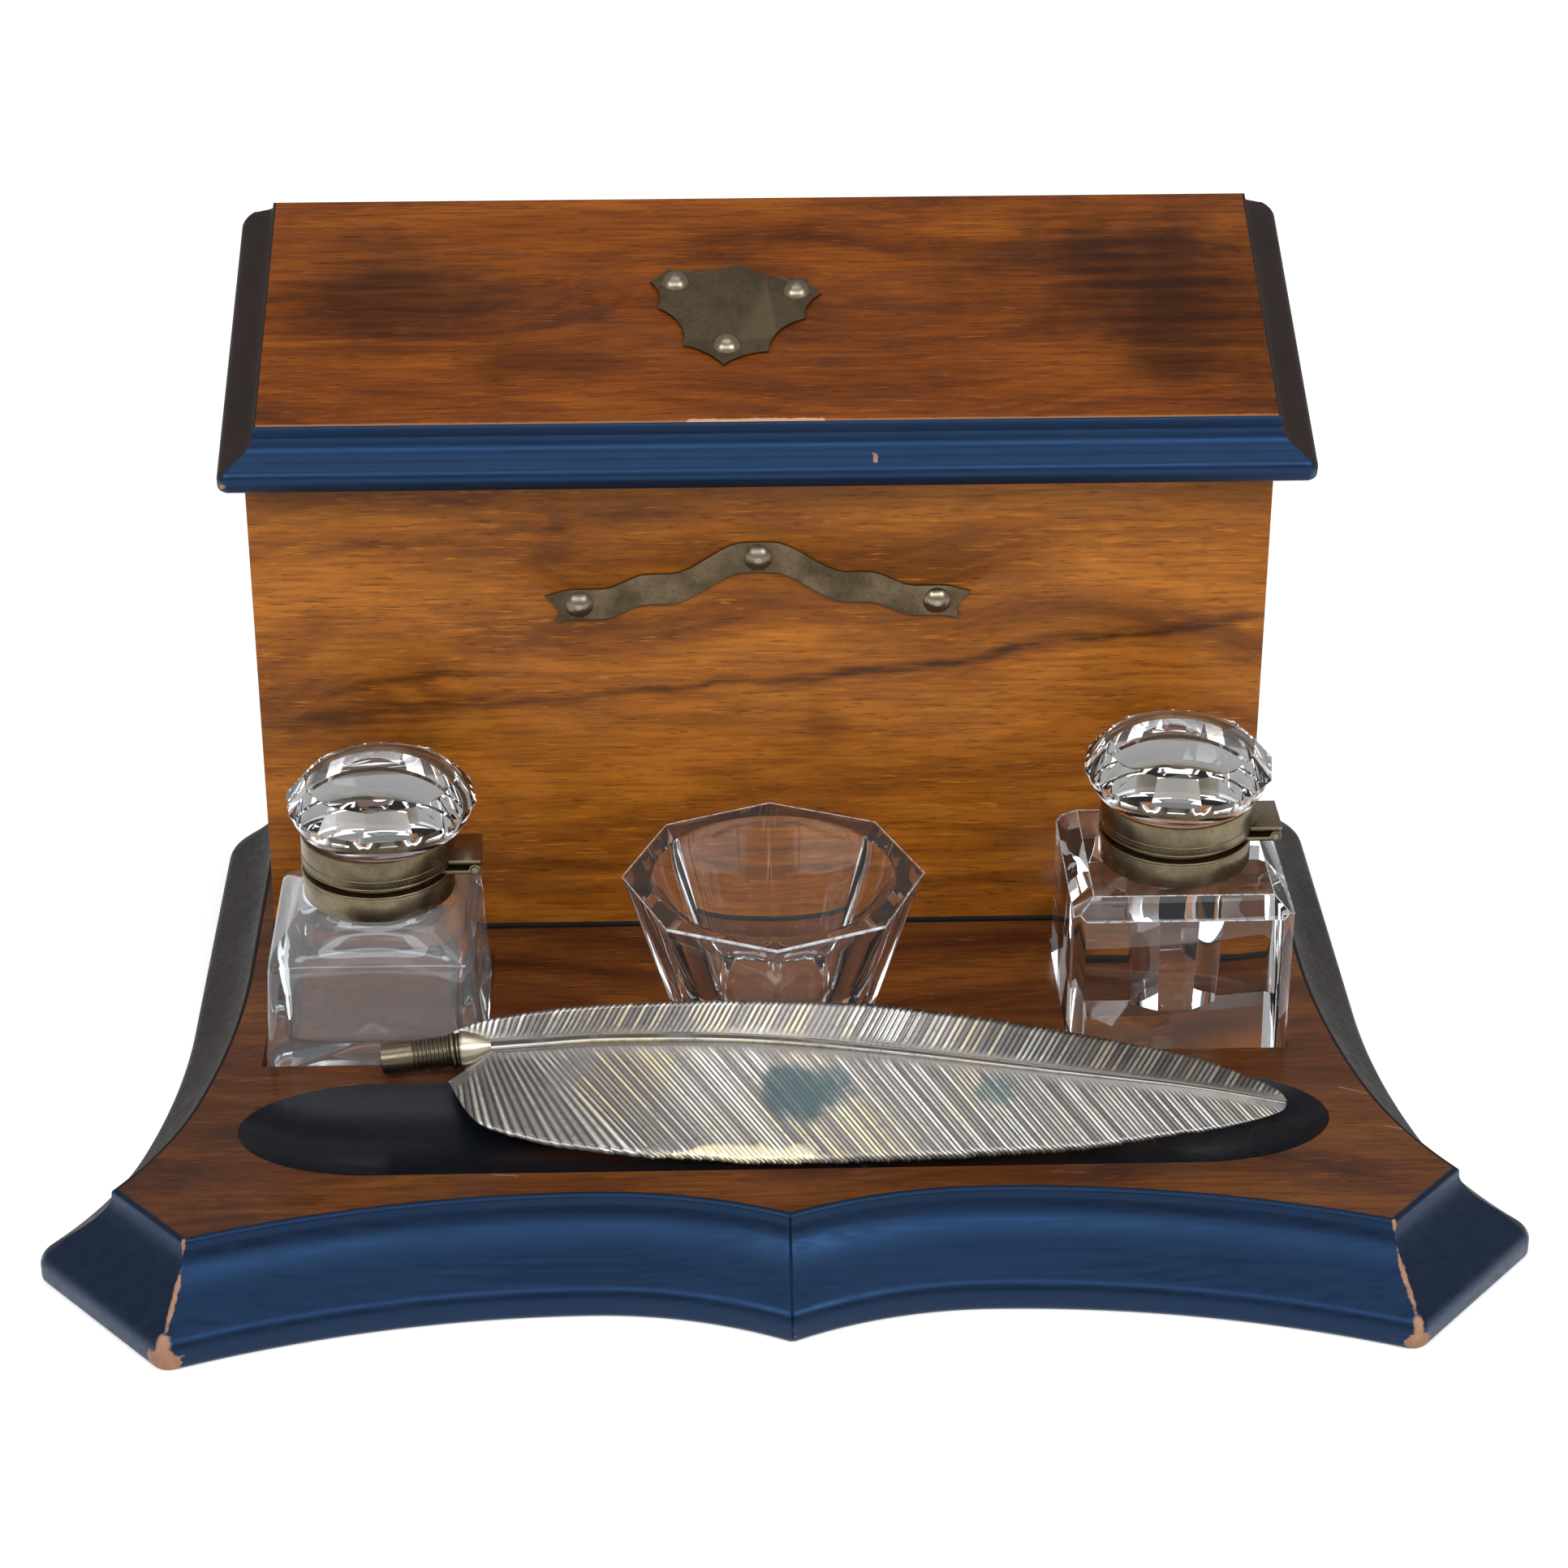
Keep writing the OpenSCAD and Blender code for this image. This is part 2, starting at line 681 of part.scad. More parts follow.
// ---- lid
lid_corner = [lid_panel_w / 2, -lid_run];
heel_tip = [lid_corner.x + lid_mould_w, lid_heel - heel_corner];

module on_lid() {
    on_joint() translate([lid_x, 0, lid_gap]) children();
}

// Everything behind the back edge of the lid, which is square below and bevelled above
module behind_heel() {
    rotate([90, 0, 90]) translate([0, 0, -far]) linear_extrude(2 * far)
        polygon([[lid_heel, -1], [lid_heel, lid_t - heel_bevel], [lid_brow, lid_t],
            [lid_brow - heel_over, lid_t + heel_bevel], [far, lid_t + heel_bevel], [far, -1]]);
}

// Hollow in the lid's underside that clears the knuckles
module knuckle_bed() {
    room = 0.4;
    translate([-hinge_len / 2 - room, 0, 0]) rotate([0, 90, 0])
        cylinder(r = knuckle_r + room, h = hinge_len + 2 * room);
}

module lid_panel() {
    color(walnut_lid) difference() {
        on_lid() difference() {
            translate([-lid_corner.x, lid_corner.y, 0])
                cube([lid_panel_w, lid_run + 2 * lid_heel, lid_t]);
            behind_heel();
        }
        on_joint() both_hinges() leaf_bed(true);
        on_axis() both_hinges() knuckle_bed();
        shield_holes(nail_r);
    }
}

module lid_moulding_front() {
    color(ebonised) on_lid() intersection() {
        run([-lid_corner.x, lid_corner.y], lid_corner, 2 * lid_mould_w) lid_section();
        left_of(lid_corner, 135);
        left_of([-lid_corner.x, lid_corner.y], 45 + 180);
    }
}

module lid_moulding_side() {
    difference() {
        intersection() {
            run(lid_corner, [lid_corner.x, lid_heel], 2 * lid_mould_w) lid_section();
            left_of(lid_corner, -45);
            left_of(heel_tip, 135);
        }
        behind_heel();
    }
}

module lid_moulding_right() color(ebonised) on_lid() lid_moulding_side();
module lid_moulding_left() color(ebonised) on_lid() mirror([1, 0, 0]) lid_moulding_side();

// ---- shield plate on the lid
// Right half of the shield, from the top point down to the bottom point
shield_half = [[0, 14.9], [16.6, 11.4], [20.4, 6.2], [17.4, -3.1], [10, -15.5], [0, -21.3]];
// Hollow of the arc that follows each of those points
shield_sag = [1.9, 0.4, 1.3, 2.3, 1];
shield_nail_places = [[-14.5, 7], [14.5, 7], [0, -14.1]];

module shield_half_plan() {
    difference() {
        polygon(shield_half);
        for (i = [0:4]) {
            p = shield_half[i];
            q = shield_half[i + 1];
            r = arc_r(norm(q - p) / 2, shield_sag[i]);
            out = -outward(heading(q - p));
            translate((p + q) / 2 + out * (r - shield_sag[i])) circle(r);
        }
    }
}

module on_shield() {
    on_joint() translate([-shield_x, shield_s - lid_run, lid_top]) rotate(-shield_turn)
        scale(shield_k) children();
}

module shield_holes(r) {
    on_joint() translate([-shield_x, shield_s - lid_run, lid_top]) rotate(-shield_turn)
        for (p = shield_nail_places) translate([p.x, p.y, 0] * shield_k)
            translate([0, 0, plate_t]) nail_hole(r);
}

module shield_plate() {
    color(brass_dark) difference() {
        on_shield() linear_extrude(plate_t / shield_k) {
            shield_half_plan();
            mirror([1, 0]) shield_half_plan();
        }
        shield_holes(nail_r + nail_clear);
    }
}

module shield_nails() {
    color(brass_old) on_joint() translate([-shield_x, shield_s - lid_run, lid_top])
        rotate(-shield_turn) for (p = shield_nail_places)
            translate([p.x, p.y, 0] * shield_k) translate([0, 0, plate_t]) nail();
}

// ---- lid hinges
knuckle_len = (hinge_len - 2 * hinge_slot) / 3;

module on_axis() {
    on_joint() translate([0, hinge_back, hinge_up]) children();
}

module knuckle(x0, len) {
    translate([x0, 0, 0]) rotate([0, 90, 0]) cylinder(r = knuckle_r, h = len);
}

// Leaf of a lid hinge: side -1 is on the box, 1 on the lid; first and last knuckles or middle
module leaf(side) {
    z0 = side < 0 ? -leaf_t - hinge_up : hinge_up;
    starts = side < 0 ? [-hinge_len / 2, hinge_len / 2 - knuckle_len] : [-knuckle_len / 2];
    difference() {
        union() {
            translate([-hinge_len / 2, -hinge_back - leaf_w, z0]) cube([hinge_len, leaf_w, leaf_t]);
            for (x = starts) {
                knuckle(x, knuckle_len);
                translate([x, -hinge_back - eps, z0]) cube([knuckle_len, hinge_back, leaf_t]);
            }
        }
        translate([-far, 0, 0]) rotate([0, 90, 0]) cylinder(r = pin_r + hinge_clear, h = 2 * far);
        for (x = [-screw_pitch / 2, screw_pitch / 2])
            translate([x, -hinge_back - leaf_w / 2, z0 + (side < 0 ? leaf_t : 0)])
                mirror([0, 0, side < 0 ? 1 : 0]) screw_form(nail_clear);
    }
}

// Countersunk screw, head flush at z 0 and shank along +Z
module screw_form(clear) {
    head_h = screw_head_r - screw_r;
    cylinder(r1 = screw_head_r + clear, r2 = screw_r + clear, h = head_h);
    cylinder(r = screw_r + clear, h = screw_len);
}

module hinge_screws(side) {
    color(brass_old) on_axis() both_hinges()
        for (x = [-screw_pitch / 2, screw_pitch / 2])
            translate([x, -hinge_back - leaf_w / 2, side * hinge_up])
                mirror([0, 0, side < 0 ? 1 : 0]) screw_form(0);
}

module hinge_leaf(x, side) {
    color(brass_old) on_axis() translate([x, 0, 0]) leaf(side);
}

module hinge_pin(x) {
    color(brass_old) on_axis() translate([x - hinge_len / 2, 0, 0]) rotate([0, 90, 0])
        cylinder(r = pin_r, h = hinge_len);
}

module hinge_box_leaf_left() hinge_leaf(-hinge_x, -1);
module hinge_box_leaf_right() hinge_leaf(hinge_x, -1);
module hinge_lid_leaf_left() hinge_leaf(-hinge_x, 1);
module hinge_lid_leaf_right() hinge_leaf(hinge_x, 1);
module hinge_pin_left() hinge_pin(-hinge_x);
module hinge_pin_right() hinge_pin(hinge_x);
module hinge_screws_box() hinge_screws(-1);
module hinge_screws_lid() hinge_screws(1);

// ---- inkwells
module at_inkwell(place) {
    translate(place) children();
}

// Upright solid with the outline of a roof: sides from the foot, then a slope to the top
module roof(foot, half, side_h, top_half, top_h) {
    outline = [[-foot, 0], [foot, 0], [half, side_h], [top_half, top_h], [-top_half, top_h],
        [-half, side_h]];
    intersection() {
        rotate([90, 0, 0]) translate([0, 0, -foot]) linear_extrude(2 * foot) polygon(outline);
        rotate([90, 0, 90]) translate([0, 0, -foot]) linear_extrude(2 * foot) polygon(outline);
    }
}

module glass_neck(top) {
    translate([0, 0, top - eps]) cylinder(r = neck_r, h = neck_h + eps);
}

// Square cut block with bevelled edges and an eight-sided tapering well
module inkwell_right_body() {
    half = cut_w / 2;
    depth = recess_d + cut_h;
    well_h = cut_h - cut_floor_t + recess_d;
    color(clear_glass) at_inkwell(right_place) difference() {
        union() {
            intersection() {
                translate([0, 0, cut_seat])
                    roof(half, half, depth - cut_bevel_h, half - cut_bevel_w, depth);
                rotate(45) translate([-1, -1, 0] * (half * sqrt(2) - cut_chamfer / sqrt(2)))
                    cube([2, 2, 0] * (half * sqrt(2) - cut_chamfer / sqrt(2)) + [0, 0, far]);
            }
            glass_neck(cut_top);
        }
        translate([0, 0, cut_seat + cut_floor_t]) rotate(22.5)
            cylinder(r1 = cut_well_foot_r, r2 = cut_well_top_r, h = well_h, $fn = 8);
        translate([0, 0, cut_top - 1]) cylinder(r = mouth_r, h = far);
    }
}

// Four leaning cylinders that hollow the moulded block's sides between its corner posts
module side_hollows() {
    lean = atan((moulded_w - moulded_top_w) / 2 / (recess_d + moulded_side_h));
    r = arc_r(moulded_top_w / 2 - post_w, moulded_dish);
    for (a = [0:90:270]) rotate(a) translate([moulded_w / 2, 0, 0]) rotate([0, -lean, 0])
        translate([r - moulded_dish, 0, -far / 2]) cylinder(r = r, h = far);
}

module inkwell_left_body() {
    color(clear_glass) difference() {
        union() {
            at_inkwell(left_block) translate([0, 0, cut_seat]) difference() {
                roof(moulded_w / 2, moulded_top_w / 2, recess_d + moulded_side_h, neck_r + 1.5,
                    recess_d + moulded_h);
                side_hollows();
            }
            at_inkwell(left_place) glass_neck(moulded_top);
        }
        at_inkwell(left_place) {
            translate([0, 0, moulded_floor]) cylinder(r = moulded_well_r, h = moulded_well_h);
            translate([0, 0, moulded_floor + moulded_well_h - eps])
                cylinder(r1 = moulded_well_r, r2 = mouth_r, h = well_shoulder);
            translate([0, 0, moulded_floor + moulded_well_h + well_shoulder - 2 * eps])
                cylinder(r = mouth_r, h = far);
        }
    }
}

// Frame of the cap hinge: X from the pin, Z from the middle of the seat
module at_cap_hinge(place, top) {
    at_inkwell(place) translate([cap_hinge_x, 0, top + collar_h + seat_h / 2]) children();
}

tab_t = 1.1;
tab_lift = 0.1;
cap_knuckle = (cap_hinge_w - 2 * hinge_slot) / 3;

// Knuckles round the pin, on the stretches named by their starts
module cap_knuckles(starts, len) {
    for (y = starts) translate([0, y, 0]) rotate([-90, 0, 0]) cylinder(r = cap_knuckle_r, h = len);
}

module pin_bore() {
    translate([0, -far, 0]) rotate([-90, 0, 0])
        cylinder(r = cap_pin_r + hinge_clear, h = 2 * far);
}

// Brass collar cemented round the glass neck, with its seat and two hinge knuckles
module collar(place, top) {
    reach = cap_hinge_x - neck_r + 1;
    starts = [-cap_hinge_w / 2, cap_hinge_w / 2 - cap_knuckle];
    color(brass_old) difference() {
        union() {
            at_inkwell(place) translate([0, 0, top]) cylinder(r = collar_r, h = collar_h);
            at_inkwell(place) translate([0, 0, top]) cylinder(r = collar_bore, h = collar_h + seat_h);
            at_cap_hinge(place, top) {
                cap_knuckles(starts, cap_knuckle);
                translate([-reach, -cap_hinge_w / 2, -tab_lift - tab_t])
                    cube([reach - cap_knuckle_r - 0.3, cap_hinge_w, tab_t]);
                for (y = starts) translate([-cap_knuckle_r - 0.5, y, -tab_lift - tab_t])
                    cube([cap_knuckle_r + 0.5, cap_knuckle, tab_t]);
            }
        }
        at_inkwell(place) translate([0, 0, top - 1]) cylinder(r = collar_bore, h = neck_h + 1);
        at_inkwell(place) translate([0, 0, top]) cylinder(r = mouth_r, h = far);
        at_cap_hinge(place, top) pin_bore();
    }
}

module cap_pin(place, top) {
    color(brass_old) at_cap_hinge(place, top) translate([0, -cap_hinge_w / 2, 0])
        rotate([-90, 0, 0]) cylinder(r = cap_pin_r, h = cap_hinge_w);
}

// Brass ring of the cap, with its hinge plate and middle knuckle
module cap_ring(place, top) {
    foot = top + collar_h + seat_h + cap_drop;
    reach = cap_hinge_x - collar_r + 1;
    color(brass_old) difference() {
        union() {
            at_inkwell(place) translate([0, 0, foot]) cylinder(r = collar_r, h = cap_ring_h);
            at_cap_hinge(place, top) {
                cap_knuckles([-cap_knuckle / 2], cap_knuckle);
                translate([-reach, -cap_hinge_w / 2, cap_knuckle_r + 0.1])
                    cube([reach + cap_knuckle_r, cap_hinge_w, tab_t]);
                translate([-cap_knuckle_r, -cap_knuckle / 2, 0])
                    cube([2 * cap_knuckle_r, cap_knuckle, cap_knuckle_r + 0.1 + eps]);
            }
        }
        at_inkwell(place) translate([0, 0, foot - 1]) cylinder(r = collar_bore, h = cap_ring_h + 2);
        at_cap_hinge(place, top) pin_bore();
    }
}

// One level of the cut cap: a flat many-sided slice
module facet_level(r, z, n, turn) {
    translate([0, 0, z]) rotate(turn) cylinder(r = r, h = 0.05, $fn = n);
}

// Cut glass cap: round plug in the ring, then a many-sided girdle and a domed crown
module cap_glass(place, top, shift) {
    foot = top + collar_h + seat_h + cap_drop;
    ring_top = foot + cap_ring_h;
    color(clear_glass) at_inkwell(place) {
        translate([0, 0, foot + 0.6]) cylinder(r = collar_bore, h = cap_ring_h - 0.6);
        translate([shift, 0, ring_top]) hull() {
            facet_level(collar_r - 0.6, 0, 16, 0);
            facet_level(girdle_r - 0.7, girdle_z - 1, 16, 0);
            facet_level(girdle_r, girdle_z, 16, 11.25);
            facet_level(girdle_r * 0.88, girdle_z + crown_h * 0.36, 16, 0);
            facet_level(girdle_r * 0.66, girdle_z + crown_h * 0.76, 8, 0);
            facet_level(girdle_r * 0.38, girdle_z + crown_h - 0.05, 8, 22.5);
        }
    }
}

module inkwell_right_collar() collar(right_place, cut_top);
module inkwell_right_hinge_pin() cap_pin(right_place, cut_top);
module inkwell_right_cap_ring() cap_ring(right_place, cut_top);
module inkwell_right_cap_glass() cap_glass(right_place, cut_top, 0);
module inkwell_left_collar() collar(left_place, moulded_top);
module inkwell_left_hinge_pin() cap_pin(left_place, moulded_top);
module inkwell_left_cap_ring() cap_ring(left_place, moulded_top);
module inkwell_left_cap_glass() cap_glass(left_place, moulded_top, cap_left_shift);

// ---- nib cup: eight flat tapering sides outside, round inside
module nib_cup() {
    hollow_r = cup_rim_r * cos(22.5) - (cup_wall - cup_rim_r * (1 - cos(22.5)));
    color(clear_glass) translate([-cup_x, -cup_y, base_t]) difference() {
        cylinder(r1 = cup_foot_r, r2 = cup_rim_r, h = cup_h, $fn = 8);
        translate([0, 0, cup_floor])
            cylinder(r1 = cup_floor_r, r2 = hollow_r, h = cup_h - cup_floor + eps);
    }
}

// ---- feather pen
// Point on the smooth line through a list of points, at a place u counted along the list
function along(list, u) = let (n = len(list) - 1, i = min(n - 1, floor(u)), t = u - i,
        a = list[max(0, i - 1)], b = list[i], c = list[i + 1], d = list[min(n, i + 2)])
    0.5 * (2 * b + (c - a) * t + (2 * a - 5 * b + 4 * c - d) * t * t
        + (3 * b - a - 3 * c + d) * t * t * t);
function unit(v) = v / norm(v);
vane_out = [0, -sin(vane_tilt), cos(vane_tilt)];

// Half of the ring of points across the feather at a place u, on the face at side 1 or -1
function vane_row(u, side) = let (s = along(shaft_line, u), low = along(low_edge, u),
        up = along(up_edge, u), share = u / (len(shaft_line) - 1),
        r = min(shaft_r + (shaft_tip_r - shaft_r) * share, 0.4 * norm(up - s)),
        lift = side * vane_t / 2 * vane_out)
    [low + lift, (low + s) / 2 + lift, s + r * unit(low - s) + lift,
     s + side * max(r, vane_t / 2 + 0.05) * vane_out, s + r * unit(up - s) + lift, up + lift];

module quill_feather() {
    rows = [for (i = [0:vane_steps]) let (u = i / vane_steps * (len(shaft_line) - 1),
        under = vane_row(u, -1)) concat(vane_row(u, 1), [for (k = [5:-1:0]) under[k]])];
    n = len(rows[0]);
    sides = [for (i = [0:vane_steps - 1], j = [0:n - 1]) let (k = (j + 1) % n, a = i * n)
        each [[a + j, a + n + k, a + k], [a + j, a + n + j, a + n + k]]];
    ends = [for (k = [0:n / 2 - 2], a = [0, vane_steps * n]) let (q = [a + k, a + k + 1,
        a + n - 2 - k, a + n - 1 - k]) a == 0 ? q : [q[3], q[2], q[1], q[0]]];
    color(bronze_pale) translate([0, -tray_y, base_t])
        polyhedron([for (row = rows) each row], concat(sides, ends));
}

ferrule_way = shaft_line[0] - ferrule_start;
ferrule_len = norm(ferrule_way) + 1;

// Turned brass ferrule: open sleeve, ringed grip, two collars and a cone to the shaft
module quill_ferrule() {
    grip = 0.32 * ferrule_len;
    collars = 0.64 * ferrule_len;
    cone = 0.78 * ferrule_len;
    color(brass_old) translate(ferrule_start + [0, -tray_y, base_t])
        rotate([0, 90 - asin(unit(ferrule_way).z), heading(ferrule_way)]) difference() {
            rotate_extrude() polygon([[0, 0], [ferrule_r, 0], [ferrule_r, grip],
                [ferrule_r - 0.25, grip], [ferrule_r - 0.25, grip + 0.6], [ferrule_r, grip + 0.6],
                [ferrule_r, collars], [ferrule_collar_r, collars],
                [ferrule_collar_r, collars + 1.2], [ferrule_collar_r - 0.5, collars + 1.4],
                [ferrule_collar_r, collars + 1.6], [ferrule_collar_r, cone],
                [shaft_r + 0.2, ferrule_len - 0.3], [0, ferrule_len - 0.3]]);
            translate([0, 0, -1]) cylinder(r = socket_r, h = socket_len + 1);
        }
}

base_board();
base_moulding_point_left();
base_moulding_point_right();
base_moulding_front_left();
base_moulding_front_right();
base_moulding_corner_left();
base_moulding_corner_right();
base_moulding_flare_left();
base_moulding_flare_right();
base_moulding_side_left();
base_moulding_side_right();
base_moulding_back();
box_floor();
box_front();
box_back();
box_side_left();
box_side_right();
divider_front();
divider_rear();
ribbon_plate();
ribbon_nails();
lid_panel();
lid_moulding_front();
lid_moulding_left();
lid_moulding_right();
shield_plate();
shield_nails();
hinge_box_leaf_left();
hinge_box_leaf_right();
hinge_lid_leaf_left();
hinge_lid_leaf_right();
hinge_pin_left();
hinge_pin_right();
hinge_screws_box();
hinge_screws_lid();
inkwell_right_body();
inkwell_right_collar();
inkwell_right_hinge_pin();
inkwell_right_cap_ring();
inkwell_right_cap_glass();
inkwell_left_body();
inkwell_left_collar();
inkwell_left_hinge_pin();
inkwell_left_cap_ring();
inkwell_left_cap_glass();
nib_cup();
quill_feather();
quill_ferrule();
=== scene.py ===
"""Looks of a walnut desk stand: woodwork, swept mouldings, cut glass, old brass and a cast feather."""
import bisect
import json
import math
import random

import bmesh
import bpy
from mathutils import Matrix, Vector

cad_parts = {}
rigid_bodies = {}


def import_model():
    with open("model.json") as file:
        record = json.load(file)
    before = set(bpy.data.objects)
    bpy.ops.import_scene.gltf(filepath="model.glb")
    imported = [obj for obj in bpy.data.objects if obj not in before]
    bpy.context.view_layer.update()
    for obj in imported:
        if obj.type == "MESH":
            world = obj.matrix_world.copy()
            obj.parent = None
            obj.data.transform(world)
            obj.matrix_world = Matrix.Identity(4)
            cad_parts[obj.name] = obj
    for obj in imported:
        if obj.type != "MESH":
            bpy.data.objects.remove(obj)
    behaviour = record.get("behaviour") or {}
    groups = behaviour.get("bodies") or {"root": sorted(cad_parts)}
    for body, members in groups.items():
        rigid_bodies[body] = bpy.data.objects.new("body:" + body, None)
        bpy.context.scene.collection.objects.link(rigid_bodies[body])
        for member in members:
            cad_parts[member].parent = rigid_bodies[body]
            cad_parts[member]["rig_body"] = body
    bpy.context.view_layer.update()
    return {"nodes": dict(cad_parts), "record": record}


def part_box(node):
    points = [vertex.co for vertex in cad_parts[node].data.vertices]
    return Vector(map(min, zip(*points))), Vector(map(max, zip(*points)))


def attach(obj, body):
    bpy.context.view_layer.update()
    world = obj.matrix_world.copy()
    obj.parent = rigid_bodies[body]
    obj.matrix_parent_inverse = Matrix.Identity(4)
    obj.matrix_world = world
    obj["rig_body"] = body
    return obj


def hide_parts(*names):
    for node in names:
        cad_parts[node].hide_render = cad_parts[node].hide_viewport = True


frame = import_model()
nodes = frame["nodes"]
MM = 0.001

# ---- sizes of the stand, in millimetres, as the solids have them
BASE_W, BASE_DEPTH, BASE_T, MOULD_W = 336.0, 234.0, 23.0, 15.5
CLIP_LEN, CLIP_ANGLE = 25.5, math.radians(49)
FRONT_PEAK_X, FRONT_DIP, FRONT_POINT = 44.0, 15.2, 9.3
SWEEP_R, SWEEP_TURN = 260.0, math.radians(13)
FLARE_R, END_TURN = 109.0, math.radians(33)
TRAY_Y = -56.7
BOX_H, BOX_D, LID_SLOPE = 126.5, 68.5, math.radians(19.5)
BOX_X, BOX_BACK_Y, LID_X, LID_GAP = 3.1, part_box("box_back")[1].y / MM, 1.7, 0.15
LID_PANEL_W, LID_MOULD_W, LID_T, LID_LAP = 235.0, 9.2, 12.6, 3.3
HEEL_OVER, HEEL_BEVEL, HEEL_CORNER = 4.6, 6.1, 2.6
CAP_RING_H, COLLAR_H, COLLAR_R, COLLAR_WALL, SEAT_H = 7.4, 6.5, 17.7, 2.2, 1.5
GIRDLE_R, GIRDLE_Z, CROWN_H = 22.35, 5.4, 12.6
RIGHT_WELL, LEFT_WELL = Vector((93.1, -2.2)), Vector((-93.6, -3.5))
RIGHT_TOP, LEFT_TOP, RECESS = BASE_T + 38.5, BASE_T + 33.3, 4.0
LEFT_CAP_SHIFT, LEFT_BLOCK_SHIFT = 1.4, 1.2
FOOT_CLEAR = 0.06
SHAFT_R, SHAFT_TIP_R = 1.75, 0.55
CUP_RIM_R, CUP_FOOT_R, CUP_H, CUP_WALL, CUP_FLOOR, CUP_FLOOR_R = 35.3, 23.5, 37.5, 5.5, 5.0, 16.0
CUP_PLACE, CUP_TURN = Vector((-1.4, -8.8)), math.radians(-90)
CUP_BORE_R = CUP_RIM_R * math.cos(math.pi / 8) - CUP_WALL + 1.3
FERRULE_START = Vector((-92.4, 21.9, 4.6))
SHAFT_LINE = [(-67.8, 22, 7.8), (-57, 20.6, 9.4), (-39, 18, 12), (-8, 11.9, 15), (24, 7.9, 13.7),
              (60, 5.7, 9.4), (92, 4.7, 5), (114.5, 2.1, 1.8)]
LOW_EDGE = [(-77, 15.6, 2.2), (-68, 0.9, -1.2), (-44, -7.5, -2.7), (-8, -13.6, -2.6), (28, -13.6, -2.6),
            (64, -10.8, -2.5), (94, -5.6, -1.2), (107, -2.7, 0.0), (113, -0.4, 0.9), (114.5, 1.8, 1.7)]
UP_EDGE = [(-77.5, 26, 8.8), (-66, 25.2, 13.6), (-42, 21.9, 18.6), (-8, 16.9, 22.2), (26, 16.2, 20.6),
           (62, 16.1, 14), (94, 13.7, 7.2), (107, 8.7, 4.6), (113, 5.0, 3.2), (114.5, 2.6, 2.1)]
VANE_TILT = math.radians(37)
VANE_THICK, BARB_HEIGHT, FULL_LEAN_AT = 0.4, 0.24, 24.0
PEN_PLACE = Vector((0, TRAY_Y, BASE_T))


